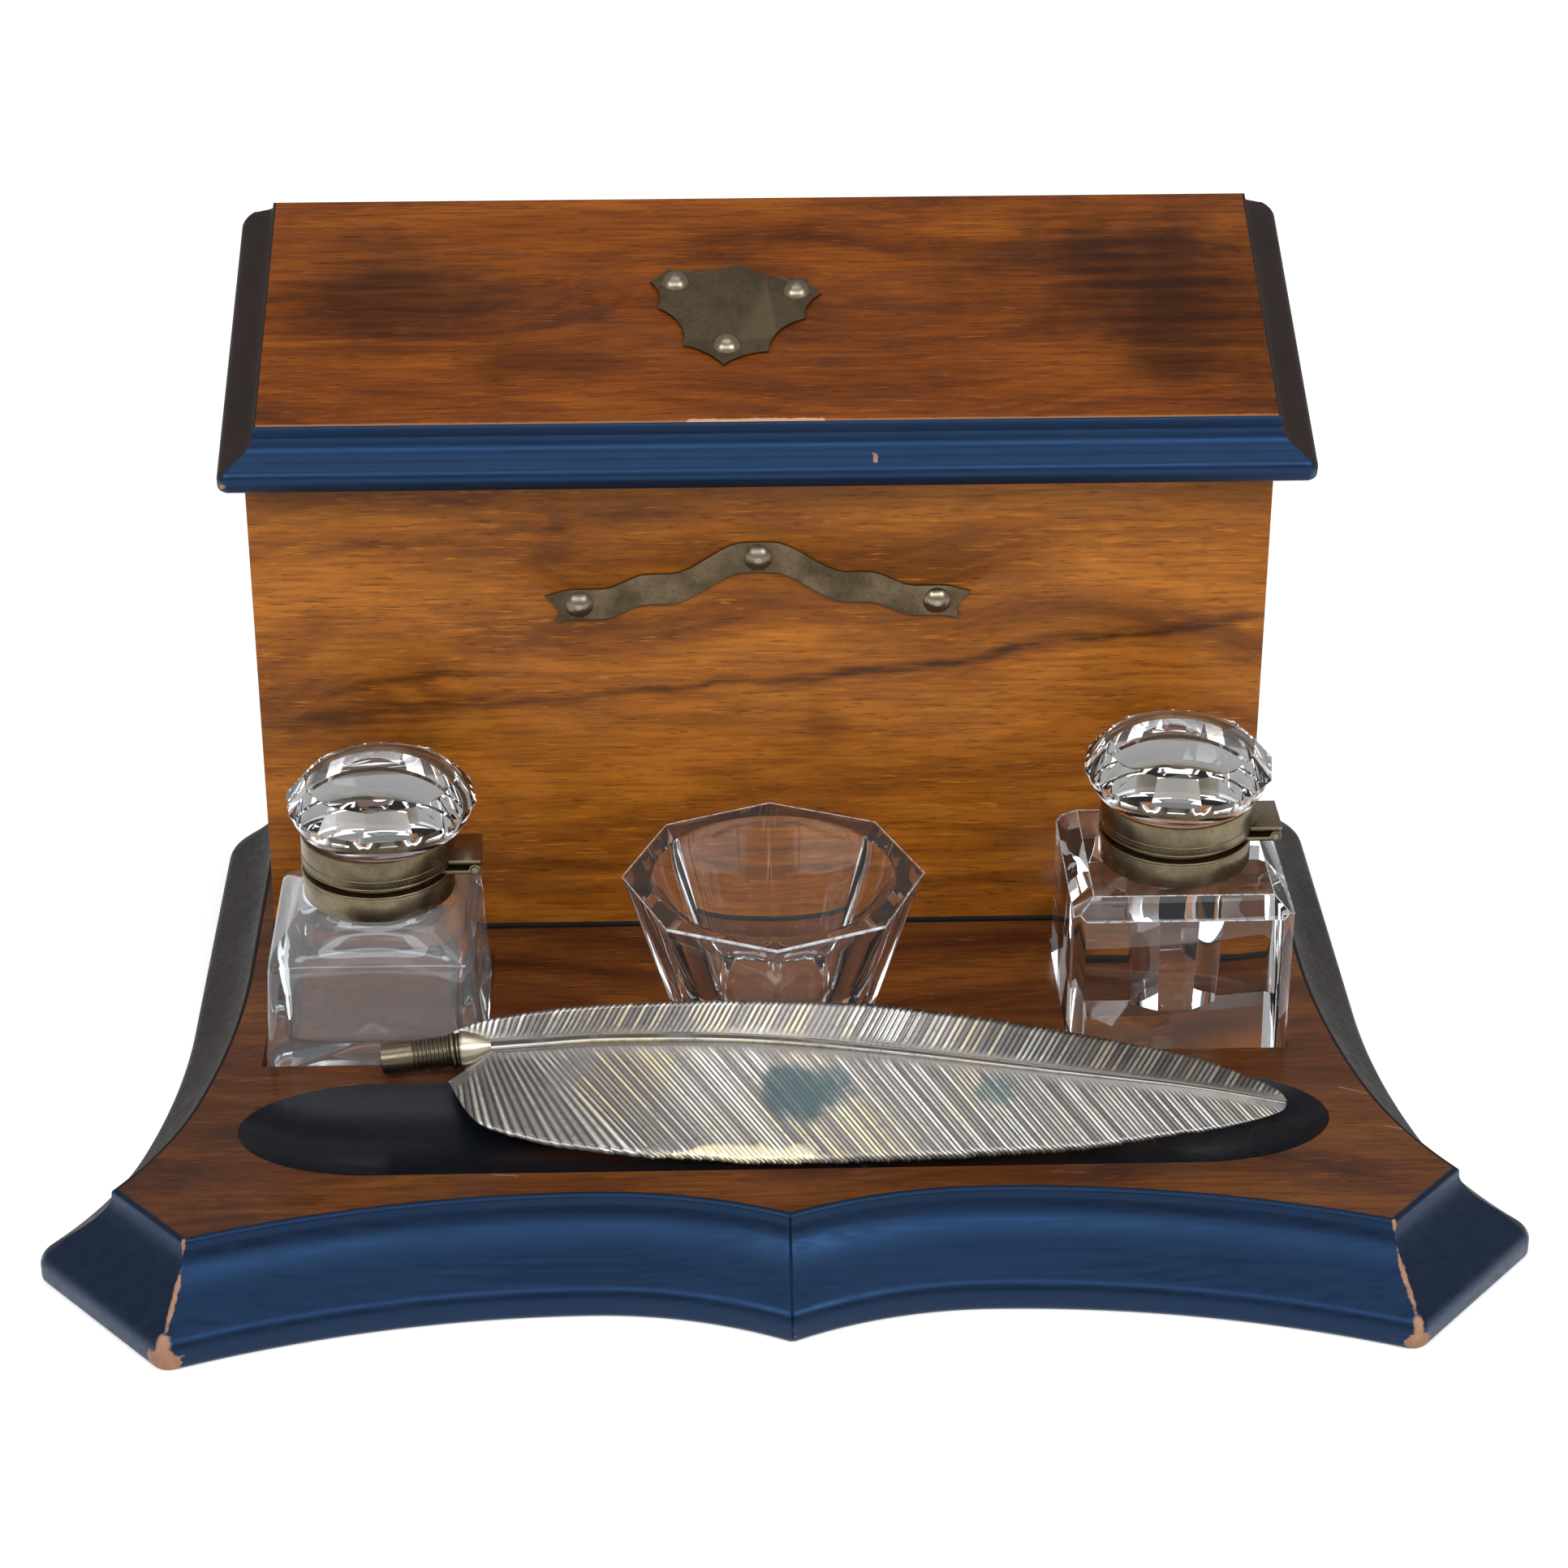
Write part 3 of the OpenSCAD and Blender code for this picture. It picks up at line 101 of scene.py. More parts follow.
# ---- node trees, written as short calls
class Tree:
    """One material's nodes, with a call for each kind that the finishes use."""

    def __init__(self, name):
        self.name = name
        self.material = bpy.data.materials.new(name)
        self.material.use_nodes = True
        self.nodes = self.material.node_tree.nodes
        self.links = self.material.node_tree.links
        self.shader = self.nodes["Principled BSDF"]
        self.place = self.nodes.new("ShaderNodeTexCoord").outputs["Object"]

    def feed(self, socket, value):
        """Links a socket, or sets its own value."""
        if isinstance(value, bpy.types.NodeSocket):
            self.links.new(value, socket)
        elif hasattr(socket.default_value, "__len__") and not isinstance(value, (int, float)):
            size = len(socket.default_value)
            socket.default_value = (list(value) + [1.0])[:size]
        else:
            socket.default_value = value

    def shade(self, **values):
        """Sets the shader's sockets: Base_Color=..., Roughness=..."""
        for name, value in values.items():
            self.feed(self.shader.inputs[name.replace("_", " ")], value)
        return self.material

    def overlay(self, share, colour):
        """Lays a colour over the base colour that the finish has so far."""
        under = self.shader.inputs["Base Color"].links[0].from_socket
        self.shade(Base_Color=self.mix(share, under, colour))

    def stretched(self, scale, turn=(0, 0, 0), move=(0, 0, 0)):
        node = self.nodes.new("ShaderNodeMapping")
        self.feed(node.inputs["Vector"], self.place)
        node.inputs["Scale"].default_value = scale
        node.inputs["Rotation"].default_value = turn
        node.inputs["Location"].default_value = move
        return node.outputs["Vector"]

    def noise(self, vector, scale, detail, rough=0.55, distortion=0.0, colour=False):
        node = self.nodes.new("ShaderNodeTexNoise")
        self.feed(node.inputs["Vector"], vector)
        node.inputs["Scale"].default_value = scale
        node.inputs["Detail"].default_value = detail
        node.inputs["Roughness"].default_value = rough
        node.inputs["Distortion"].default_value = distortion
        return node.outputs["Color" if colour else "Fac"]

    def cloud(self, scale, detail, rough=0.55, move=(0, 0, 0)):
        """Noise of one scale in every direction."""
        return self.noise(self.stretched((scale, scale, scale), move=move), 1.0, detail, rough)

    def grains(self, vector, scale):
        node = self.nodes.new("ShaderNodeTexVoronoi")
        self.feed(node.inputs["Vector"], vector)
        node.inputs["Scale"].default_value = scale
        return node.outputs["Distance"]

    def math(self, kind, a, b=0.0, clamp=False):
        node = self.nodes.new("ShaderNodeMath")
        node.operation = kind
        node.use_clamp = clamp
        self.feed(node.inputs[0], a)
        self.feed(node.inputs[1], b)
        return node.outputs[0]

    def vector(self, kind, a, b=(0, 0, 0)):
        node = self.nodes.new("ShaderNodeVectorMath")
        node.operation = kind
        self.feed(node.inputs[0], a)
        self.feed(node.inputs["Scale"] if kind == "SCALE" else node.inputs[1], b)
        return node.outputs["Value" if kind in ("DOT_PRODUCT", "LENGTH") else "Vector"]

    def fit(self, value, low, high, to_low=0.0, to_high=1.0):
        """Smooth change of a value from one range to another."""
        node = self.nodes.new("ShaderNodeMapRange")
        node.interpolation_type = "SMOOTHSTEP"
        self.feed(node.inputs["Value"], value)
        node.inputs["From Min"].default_value = low
        node.inputs["From Max"].default_value = high
        node.inputs["To Min"].default_value = to_low
        node.inputs["To Max"].default_value = to_high
        return node.outputs["Result"]

    def mix(self, share, a, b):
        node = self.nodes.new("ShaderNodeMix")
        node.data_type = "RGBA"
        self.feed(node.inputs["Factor"], share)
        self.feed(node.inputs["A"], a)
        self.feed(node.inputs["B"], b)
        return node.outputs["Result"]

    def axes(self):
        node = self.nodes.new("ShaderNodeSeparateXYZ")
        self.feed(node.inputs[0], self.place)
        return node.outputs

    def uneven(self, reach, ragged, scale):
        """A distance with noise added, for a ragged outline."""
        wander = self.math("SUBTRACT", self.noise(self.place, scale, 4), 0.5)
        return self.math("ADD", reach, self.math("MULTIPLY", wander, ragged))

    def spot(self, centre, size, ragged, scale):
        """Soft patch, 1 at its centre and 0 outside its half sizes, all in metres."""
        moved = self.stretched([1 / s for s in size], move=[-c / s for c, s in zip(centre, size)])
        return self.fit(self.uneven(self.vector("LENGTH", moved), ragged, scale), 1.0, 0.25)

    def near_line(self, start, end, radius, ragged, scale):
        """1 along a line from start to end and 0 beyond a radius, all in metres."""
        start, way = Vector(start), Vector(end) - Vector(start)
        offset = self.vector("SUBTRACT", self.place, start)
        share = self.math("MULTIPLY", self.vector("DOT_PRODUCT", offset, way), 1 / way.length_squared, True)
        nearest = self.vector("SCALE", way, share)
        away = self.math("DIVIDE", self.vector("LENGTH", self.vector("SUBTRACT", offset, nearest)), radius)
        return self.fit(self.uneven(away, ragged, scale), 1.0, 0.5)

    def attribute(self, name):
        node = self.nodes.new("ShaderNodeAttribute")
        node.attribute_name = name
        return node.outputs["Fac"]

    def hollows(self):
        """Bright on edges and dark in corners, from the mesh itself."""
        return self.nodes.new("ShaderNodeNewGeometry").outputs["Pointiness"]

    def bump(self, height, strength, distance):
        node = self.nodes.new("ShaderNodeBump")
        node.inputs["Strength"].default_value = strength
        node.inputs["Distance"].default_value = distance
        self.feed(node.inputs["Height"], height)
        self.feed(self.shader.inputs["Normal"], node.outputs["Normal"])


# ---- plan of the base
def outward(angle):
    return Vector((math.sin(angle), -math.cos(angle)))


def corner_step(normal, way, r):
    """Step from a board corner to the moulding's outer corner, between a straight run and an arc."""
    q = MOULD_W * normal - way
    d = Vector((-normal.y, normal.x))
    back = math.sqrt(q.dot(d) ** 2 - q.dot(q) + (r - MOULD_W) ** 2)
    return MOULD_W * normal + d * (-q.dot(d) + (back if q.dot(d) > 0 else -back))


def arc_r(run, sag):
    """Radius of an arc from its run and its rise."""
    return (run * run + sag * sag) / (2 * sag)


flare_way = FLARE_R * Vector((math.cos(END_TURN), math.sin(END_TURN)))
tip_step = corner_step(outward(CLIP_ANGLE), flare_way, FLARE_R)
clip_back_x = BASE_W / 2 - tip_step.x
clip_front_x = clip_back_x - CLIP_LEN * math.cos(CLIP_ANGLE)
front_run = clip_front_x - FRONT_PEAK_X
front_r, front_turn = arc_r(front_run, FRONT_DIP), 2 * math.atan(FRONT_DIP / front_run)
point_r = arc_r(FRONT_PEAK_X, FRONT_POINT)
front_way = -front_r * Vector((math.sin(front_turn), math.cos(front_turn)))
front_step = corner_step(outward(CLIP_ANGLE), front_way, front_r)
clip_front_y = -BASE_DEPTH / 2 - front_step.y
peak_y = clip_front_y + FRONT_DIP
clip_front = Vector((clip_front_x, clip_front_y))
clip_back = Vector((clip_back_x, clip_front_y + CLIP_LEN * math.sin(CLIP_ANGLE)))
flare_centre = clip_back + flare_way
flare_start = flare_centre - FLARE_R * Vector((math.cos(SWEEP_TURN), math.sin(SWEEP_TURN)))
sweep_centre = flare_start + SWEEP_R * Vector((math.cos(SWEEP_TURN), math.sin(SWEEP_TURN)))
board_half = sweep_centre.x - SWEEP_R
board_back = BASE_DEPTH / 2 - MOULD_W


# ---- the lid's own frame: X along the hinge line, Y up the slope, Z off the lid
lid_place = (Matrix.Translation((-BOX_X, BOX_BACK_Y, BASE_T + BOX_H + BOX_D * math.tan(LID_SLOPE)))
             @ Matrix.Rotation(LID_SLOPE, 4, "X") @ Matrix.Translation((LID_X, 0, LID_GAP)))
lid_front = Vector((LID_PANEL_W / 2, -BOX_D / math.cos(LID_SLOPE) - LID_LAP))
lid_brow = (LID_GAP + LID_T) * math.tan(LID_SLOPE)


# ---- wood
def dark_line(t, shift, start, end, width, depth):
    """Share of a line in the figure: it wanders and breaks, and fades out past its ends, all in metres."""
    grain_x, _, grain_z = t.axes()
    wander = t.math("SUBTRACT", t.cloud(26, 3.0, move=shift), 0.5)
    slope = (end[1] - start[1]) / (end[0] - start[0])
    rise = t.math("MULTIPLY_ADD", grain_x, slope)
    rise.node.inputs[2].default_value = start[1] - slope * start[0]
    off = t.math("SUBTRACT", grain_z, t.math("ADD", rise, t.math("MULTIPLY", wander, 0.012)))
    near = t.fit(t.math("ABSOLUTE", off), width, width * 0.1)
    ends = t.math("MULTIPLY", t.fit(grain_x, start[0] - 0.012, start[0] + 0.012),
                  t.fit(grain_x, end[0] + 0.012, end[0] - 0.012))
    broken = t.fit(t.noise(t.stretched((60, 700, 700)), 1.0, 3.0), 0.32, 0.6, 0.35, 1.0)
    return t.math("MULTIPLY", t.math("MULTIPLY", near, ends), t.math("MULTIPLY", broken, depth))


def walnut(name, pale, middle, dark, stains, lines, turn=(0, 0, 0), polish=0.3, seed=0.0, shine=0.2,
           bare=()):
    """Polished walnut with its grain along X: figure, fibres, pores, dark lines, stains and bare lines."""
    t = Tree(name)
    shift = (seed, seed * 1.7, seed * 0.6)
    drift = t.noise(t.stretched((7, 7, 7), turn, shift), 1.0, 2.0, colour=True)
    along = t.stretched((9, 62, 62), turn, shift)
    warped = t.vector("MULTIPLY_ADD", drift, (1.6, 3.4, 3.4))
    t.feed(warped.node.inputs[2], along)
    figure = t.noise(warped, 1.0, 5.0, 0.62, 0.35)
    fibres = t.noise(t.stretched((55, 900, 900), turn, shift), 1.0, 3.0, 0.6)
    pores = t.noise(t.stretched((190, 2600, 2600), turn, shift), 1.0, 2.0, 0.5)
    colour = t.mix(t.fit(figure, 0.31, 0.50), dark, middle)
    colour = t.mix(t.fit(figure, 0.46, 0.66), colour, pale)
    colour = t.mix(t.fit(fibres, 0.42, 0.66, 0.0, 0.5), colour, dark)
    flecks = t.noise(t.stretched((120, 1500, 1500), turn, (seed + 4, 1, 2)), 1.0, 2.0, 0.5)
    colour = t.mix(t.fit(flecks, 0.60, 0.74, 0.0, 0.5), colour, [c * 1.35 for c in pale])
    pore = t.fit(pores, 0.60, 0.70)
    colour = t.mix(t.math("MULTIPLY", pore, 0.55), colour, [c * 0.35 for c in dark])
    for line in lines:
        colour = t.mix(dark_line(t, shift, *line), colour, [c * 0.3 for c in dark])
    for centre, size, depth in stains:
        patch = t.math("MULTIPLY", t.spot(centre, size, 0.9, 60), depth)
        streaky = t.fit(t.noise(t.stretched((22, 380, 380), turn), 1.0, 4.0), 0.25, 0.65, 0.5, 1.0)
        colour = t.mix(t.math("MULTIPLY", patch, streaky), colour, [c * 0.42 for c in dark])
    dings = t.fit(t.grains(t.stretched((70, 70, 70), move=shift), 1.0), 0.03, 0.012)
    colour = t.mix(t.math("MULTIPLY", dings, 0.35), colour, pale)
    smear = t.cloud(30, 4.0, move=(3, 1, 2))
    for start, end, radius, ragged, tone in bare:
        colour = t.mix(t.near_line(start, end, radius, ragged, 500), colour, tone)
    t.shade(Base_Color=colour, Roughness=t.fit(smear, 0.3, 0.75, polish - 0.06, polish + 0.12))
    t.shade(Specular_IOR_Level=shine)
    relief = t.math("ADD", t.math("MULTIPLY", fibres, 0.35), t.math("MULTIPLY", pore, -0.8))
    t.bump(relief, 0.12, 0.0002)
    return t


def ebonised(name, colour, chips, lines, sheen=(0.16, 0.42, 1.0), rough=0.30, gloss=0.75):
    """Stained and waxed wood: brush lines in its sheen, and chips and worn lines down to the bare wood."""
    t = Tree(name)
    brushed = t.noise(t.stretched((14, 620, 620)), 1.0, 4.0, 0.62)
    mottle = t.cloud(45, 5.0)
    shade = t.mix(t.fit(brushed, 0.35, 0.7, 0.0, 0.6), colour, [c * 1.9 for c in colour])
    shade = t.mix(t.fit(mottle, 0.45, 0.75, 0.0, 0.35), shade, [c * 0.4 for c in colour])
    specks = t.fit(t.grains(t.stretched((420, 420, 420)), 1.0), 0.05, 0.02)
    dusty = t.fit(t.cloud(60, 2.0, move=(1, 5, 2)), 0.55, 0.7)
    shade = t.mix(t.math("MULTIPLY", t.math("MULTIPLY", specks, dusty), 0.4), shade, (0.12, 0.125, 0.13))
    bare = None
    for centre, size in chips:
        spot = t.fit(t.spot(centre, size, 1.0, 420), 0.2, 0.42)
        bare = t.math("MAXIMUM", bare, spot) if bare else spot
    for start, end, radius, ragged in lines:
        line = t.near_line(start, end, radius, ragged, 700)
        bare = t.math("MAXIMUM", bare, line) if bare else line
    rough_there = t.fit(t.math("ADD", t.math("MULTIPLY", brushed, 0.7), t.math("MULTIPLY", mottle, 0.3)),
                        0.3, 0.7, rough, rough + 0.16)
    if bare:
        fresh = t.cloud(240, 3.0)
        fresh = t.mix(fresh, (0.20, 0.085, 0.035), (0.58, 0.31, 0.15))
        shade = t.mix(bare, shade, fresh)
        rough_there = t.math("MAXIMUM", rough_there, t.math("MULTIPLY", bare, 0.7))
    t.shade(Base_Color=shade, Roughness=rough_there, Specular_IOR_Level=gloss, Specular_Tint=sheen)
    t.bump(t.math("ADD", brushed, t.math("MULTIPLY", mottle, 0.6)), 0.10, 0.0002)
    return t


front_z = BASE_T * MM
front_lines = [
    ((0.004, front_z + 0.068), (0.118, front_z + 0.084), 0.0024, 0.9),
    ((-0.070, front_z + 0.062), (0.008, front_z + 0.069), 0.0017, 0.7),
    ((-0.122, front_z + 0.057), (-0.066, front_z + 0.063), 0.0046, 0.75),
    ((-0.100, front_z + 0.066), (-0.062, front_z + 0.071), 0.0016, 0.6),
    ((-0.110, front_z + 0.101), (-0.020, front_z + 0.112), 0.0025, 0.45),
    ((-0.085, front_z + 0.018), (0.118, front_z + 0.010), 0.0026, 0.55),
    ((-0.040, front_z + 0.030), (0.060, front_z + 0.027), 0.0016, 0.35),
]
front_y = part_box("box_front")[0].y
front_stains = [
    ((0.012, front_y, front_z + 0.055), (0.008, 0.02, 0.008), 0.45),
    ((-0.108, front_y, front_z + 0.012), (0.035, 0.02, 0.012), 0.35),
    ((0.105, front_y, front_z + 0.010), (0.030, 0.02, 0.010), 0.35),
    ((-0.085, front_y, front_z + 0.055), (0.040, 0.02, 0.008), 0.35),
]
walnut_box = walnut("walnut_box", (0.47, 0.155, 0.016), (0.320, 0.098, 0.009), (0.140, 0.041, 0.006),
                    front_stains, front_lines, seed=0.31)
lid_low, lid_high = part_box("lid_panel")
lid_mid = (lid_low + lid_high) / 2
lid_stains = [
    ((0.085, lid_mid.y + 0.014, lid_mid.z), (0.060, 0.036, 0.03), 1.0),
    ((0.100, lid_mid.y - 0.012, lid_mid.z), (0.036, 0.034, 0.03), 0.9),
    ((-0.088, lid_mid.y + 0.004, lid_mid.z), (0.040, 0.030, 0.03), 0.9),
    ((-0.052, lid_mid.y - 0.022, lid_mid.z), (0.030, 0.010, 0.02), 0.7),
    ((0.030, lid_mid.y + 0.024, lid_mid.z), (0.050, 0.012, 0.02), 0.5),
    ((-0.0089, lid_mid.y + 0.006, lid_mid.z), (0.028, 0.028, 0.03), 0.6),
]
panel_edge = [lid_place @ Vector((x, lid_front.y + 0.15, LID_T - 0.1)) * MM
              for x in (-117.0, -18.0, 12.0, 117.0)]
RUBBED, RAW = (0.30, 0.13, 0.055), (0.55, 0.32, 0.17)
lid_bare = [(panel_edge[0], panel_edge[3], 0.0007, 1.0, RUBBED),
            (panel_edge[1], panel_edge[2], 0.0011, 1.2, RAW)]
walnut_lid = walnut("walnut_lid", (0.310, 0.086, 0.009), (0.205, 0.051, 0.006), (0.075, 0.020, 0.006),
                    lid_stains, (), (-LID_SLOPE, 0, 0), 0.32, 0.77, 0.12, lid_bare)
SCRATCH = (0.22, 0.17, 0.13)
base_bare = [(Vector((x0, y0, BASE_T)) * MM, Vector((x1, y1, BASE_T)) * MM, 0.00022, 1.2, SCRATCH)
             for x0, y0, x1, y1 in ((128, -45.5, 134, -48.5), (136, -62, 142, -64.5), (-66, -76, -60, -76.8))]
walnut_base = walnut("walnut_base", (0.165, 0.054, 0.011), (0.100, 0.030, 0.008), (0.044, 0.013, 0.005),
                     (), (), polish=0.24, seed=0.12, shine=0.22, bare=base_bare)
inside_wood = walnut("inside_wood", (0.20, 0.085, 0.030), (0.15, 0.058, 0.020), (0.08, 0.030, 0.012),
                     (), (), polish=0.5, seed=0.55)


def black_tray(t):
    """The dished tray in the base is ebonised: everything below the board's top and ahead of the glass."""
    _, y, z = t.axes()
    sunk = t.fit(z, BASE_T * MM - 0.00002, BASE_T * MM - 0.0001)
    ahead = t.fit(y, (TRAY_Y + 24) * MM, (TRAY_Y + 22) * MM)
    worn = t.cloud(50, 5.0)
    black = t.mix(worn, (0.003, 0.0045, 0.008), (0.008, 0.010, 0.015))
    t.overlay(t.math("MULTIPLY", sunk, ahead), black)


black_tray(walnut_base)


def corner_place(corner, step, out, up, side):
    """Point of the base moulding's mitre, at a distance out from the board and a height, in metres."""
    spot = corner + step * (out / MOULD_W)
    return Vector((spot.x * side, spot.y, up)) * MM


def mitre_wear(side, big):
    """Bare wood at a front corner: the chip at its foot, its neck, and a fine broken line up the mitre."""
    foot = corner_place(clip_front, front_step, MOULD_W - 1.0, 2.4, side)
    neck = corner_place(clip_front, front_step, MOULD_W - 1.6, 8.0, side)
    high = corner_place(clip_front, front_step, 5.0, 14.6, side)
    top = corner_place(clip_front, front_step, 0.6, 22.6, side)
    chips = [(foot, Vector((5.6, 5.6, 4.4)) * MM * big)]
    lines = [(foot, neck, 0.0021 * big, 0.8), (neck, high, 0.0008, 1.6), (high, top, 0.0006, 1.5)]
    return chips, lines


left_chips, left_lines = mitre_wear(-1, 1.0)
right_chips, right_lines = mitre_wear(1, 0.72)
centre_foot = Vector((0, peak_y - FRONT_POINT - MOULD_W + 0.6, 3.0)) * MM
centre_chips = [(centre_foot, Vector((1.6, 3.0, 4.6)) * MM)]
ebony_base = ebonised("ebonised_wood", (0.0042, 0.0052, 0.0085), left_chips + right_chips + centre_chips,
                      left_lines + right_lines)


def centre_joint(t):
    """Dark line where the two front mouldings meet."""
    x, y, _ = t.axes()
    gap = t.fit(t.math("ABSOLUTE", x), 0.00042, 0.0002)
    ahead = t.fit(y, peak_y * MM, (peak_y - 6) * MM)
    t.overlay(t.math("MULTIPLY", t.math("MULTIPLY", gap, ahead), 0.92), (0.002, 0.002, 0.0025))


centre_joint(ebony_base)
lid_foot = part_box("lid_moulding_front")
lid_left, lid_right, lid_y, lid_z = lid_foot[0].x, lid_foot[1].x, lid_foot[0].y, lid_foot[0].z
lid_chips = [
    ((lid_left + 0.0022, lid_y + 0.003, lid_z + 0.0030), (0.0046, 0.0036, 0.0030)),
    ((0.0230, lid_y + 0.004, lid_z + 0.0060), (0.0014, 0.004, 0.0022)),
]
lid_lines = [((x0, lid_y + 0.0025, lid_z + 0.0006), (x1, lid_y + 0.0025, lid_z + 0.0006), radius, ragged)
             for x0, x1, radius, ragged in ((lid_left + 0.003, lid_left + 0.024, 0.0011, 1.3),
                                            (lid_right - 0.018, lid_right - 0.008, 0.0007, 1.5))]
ebony_lid = ebonised("ebonised_lid", (0.0042, 0.0052, 0.0085), lid_chips, lid_lines, gloss=1.0)
foot_line = ebonised("foot_line_wood", (0.006, 0.006, 0.0065), (), (), (0.30, 0.32, 0.38), 0.45)
dark_side = ebonised("dark_lid_side_wood", (0.014, 0.0085, 0.0065), (), (), (0.42, 0.34, 0.34), 0.5)
dark_base_side = ebonised("dark_side_wood", (0.010, 0.0065, 0.005), (), (), (0.42, 0.34, 0.34), 0.45, 0.2)


# ---- metal and glass
def old_brass(name, clean, tarnish, polish, dirt=0.75):
    """Old brass: brown-green tarnish in patches, darker in corners and brighter on edges."""
    t = Tree(name)
    clouds = t.cloud(90, 5.0, 0.6)
    fine = t.cloud(900, 4.0, 0.6)
    colour = t.mix(t.fit(clouds, 0.32, 0.68, 0.0, dirt), clean, tarnish)
    colour = t.mix(t.fit(fine, 0.45, 0.75, 0.0, 0.4), colour, [c * 0.55 for c in tarnish])
    colour = t.mix(t.fit(t.hollows(), 0.52, 0.60, 0.0, 0.65), colour, [min(1, c * 1.25) for c in clean])
    colour = t.mix(t.fit(t.hollows(), 0.48, 0.42, 0.0, 0.7), colour, [c * 0.3 for c in tarnish])
    t.shade(Base_Color=colour, Roughness=t.fit(clouds, 0.3, 0.75, polish, polish + 0.2), Metallic=1.0)
    t.bump(fine, 0.10, 0.0001)
    return t


dark_brass = old_brass("dark_brass", (0.175, 0.128, 0.076), (0.068, 0.052, 0.031), 0.36)
nail_brass = old_brass("nail_brass", (0.36, 0.30, 0.22), (0.19, 0.15, 0.105), 0.22)
hinge_brass = old_brass("hinge_brass", (0.34, 0.29, 0.19), (0.16, 0.135, 0.09), 0.34)
collar_brass = old_brass("collar_brass", (0.25, 0.200, 0.125), (0.105, 0.083, 0.052), 0.24)
ferrule_brass = old_brass("ferrule_brass", (0.23, 0.185, 0.125), (0.10, 0.078, 0.058), 0.24, 0.6)


def painted_cone_highlight(t):
    """The ferrule's cone gets a painted highlight, a brighter colour laid over it; its sleeve is dark."""
    cone = t.fit(t.axes()[0], -0.0745, -0.0735)
    smear = t.noise(t.stretched((120, 400, 400)), 1.0, 4.0)
    # Painted highlight over the cone, broken up by streaky noise.
    t.overlay(t.math("MULTIPLY", cone, t.fit(smear, 0.3, 0.6, 0.7, 1.0)), (0.72, 0.66, 0.50))


painted_cone_highlight(ferrule_brass)


def clear_glass(name, tint, rough, ior, dusty, clear):
    """Clear glass, with a faint tint and, where it is old and rubbed, a veil of fine marks."""
    t = Tree(name)
    t.shade(Base_Color=tint, Transmission_Weight=clear, IOR=ior)
    if dusty:
        marks = t.cloud(260, 5.0, 0.65)
        t.shade(Roughness=t.fit(marks, 0.5, 0.8, rough, rough + dusty))
    else:
        t.shade(Roughness=rough)
    return t


GLASS = ("cut_glass", "moulded_glass", "cap_glass", "cup_glass")
cut_glass = clear_glass("cut_glass", (0.985, 0.992, 1.0), 0.0, 1.52, 0.0, 0.995)
moulded_glass = clear_glass("moulded_glass", (0.90, 0.94, 0.97), 0.02, 1.5, 0.10, 0.965)
cap_glass = clear_glass("cap_glass", (0.985, 0.99, 1.0), 0.0, 1.52, 0.0, 0.998)
cup_glass = clear_glass("cup_glass", (0.985, 0.99, 1.0), 0.0, 1.5, 0.02, 0.992)


def painted_glint_finish():
    """Pale finish that paints the highlights along the sharp edges of cut glass."""
    t = Tree("painted_glint_glass")
    # Noise breaks the painted highlight into grey and white stretches.
    glint_breaks = t.cloud(700, 4.0)
    t.shade(Base_Color=t.mix(t.fit(glint_breaks, 0.35, 0.7), (0.50, 0.53, 0.58), (0.95, 0.97, 1.0)))
    t.shade(Roughness=t.fit(glint_breaks, 0.3, 0.7, 0.2, 0.5), Transmission_Weight=0.55, IOR=1.5)
    return t


painted_glint_glass = painted_glint_finish()


def feather_finish():
    """Cast feather in silvered brass: silver and gold on the high barbs as painted highlight, mauve and brown
    in the low grooves between them as painted shade, two green blooms.
    """
    t = Tree("feather_metal")
    ridge = t.attribute("ridge")
    clouds = t.cloud(38, 5.0, 0.6)
    fine = t.cloud(700, 4.0)
    silver, gold = (0.66, 0.66, 0.63), (0.74, 0.64, 0.40)
    mauve, brown = (0.24, 0.22, 0.215), (0.085, 0.070, 0.062)
    colour = t.mix(t.fit(clouds, 0.40, 0.66), silver, gold)
    # Painted shade from the ridge attribute: mauve as a barb sinks, brown in the lowest grooves and in the
    # creases by the shaft.
    colour = t.mix(t.fit(ridge, 0.85, 0.45), colour, mauve)
    colour = t.mix(t.fit(ridge, 0.42, 0.10), colour, brown)
    blots = t.cloud(85, 4.0, 0.6, move=(2, 0, 5))
    colour = t.mix(t.fit(blots, 0.52, 0.70, 0.0, 0.7), colour, mauve)
    colour = t.mix(t.fit(fine, 0.52, 0.78, 0.0, 0.45), colour, brown)
    low = PEN_PLACE * MM
    bloom = t.spot(low + Vector((0.004, 0.0005, 0.0075)), (0.0135, 0.0095, 0.0095), 1.2, 200)
    small = t.spot(low + Vector((0.047, 0.002, 0.006)), (0.0070, 0.0055, 0.0055), 1.3, 260)
    stained = t.math("ADD", t.fit(bloom, 0.0, 0.9, 0.0, 0.8), t.fit(small, 0.0, 0.9, 0.0, 0.6), True)
    colour = t.mix(stained, colour, (0.055, 0.115, 0.135))
    rubbed = t.spot(low + Vector((-0.014, -0.012, -0.002)), (0.030, 0.006, 0.006), 0.9, 120)
    colour = t.mix(t.fit(rubbed, 0.3, 0.75, 0.0, 0.8), colour, (0.86, 0.76, 0.50))
    rough = t.math("ADD", t.fit(clouds, 0.3, 0.7, 0.24, 0.40), t.math("MULTIPLY", stained, 0.35))
    bare_metal = t.math("SUBTRACT", 1.0, t.math("MULTIPLY", stained, 0.7))
    t.shade(Base_Color=colour, Metallic=bare_metal, Roughness=rough)
    t.bump(fine, 0.18, 0.00012)
    return t


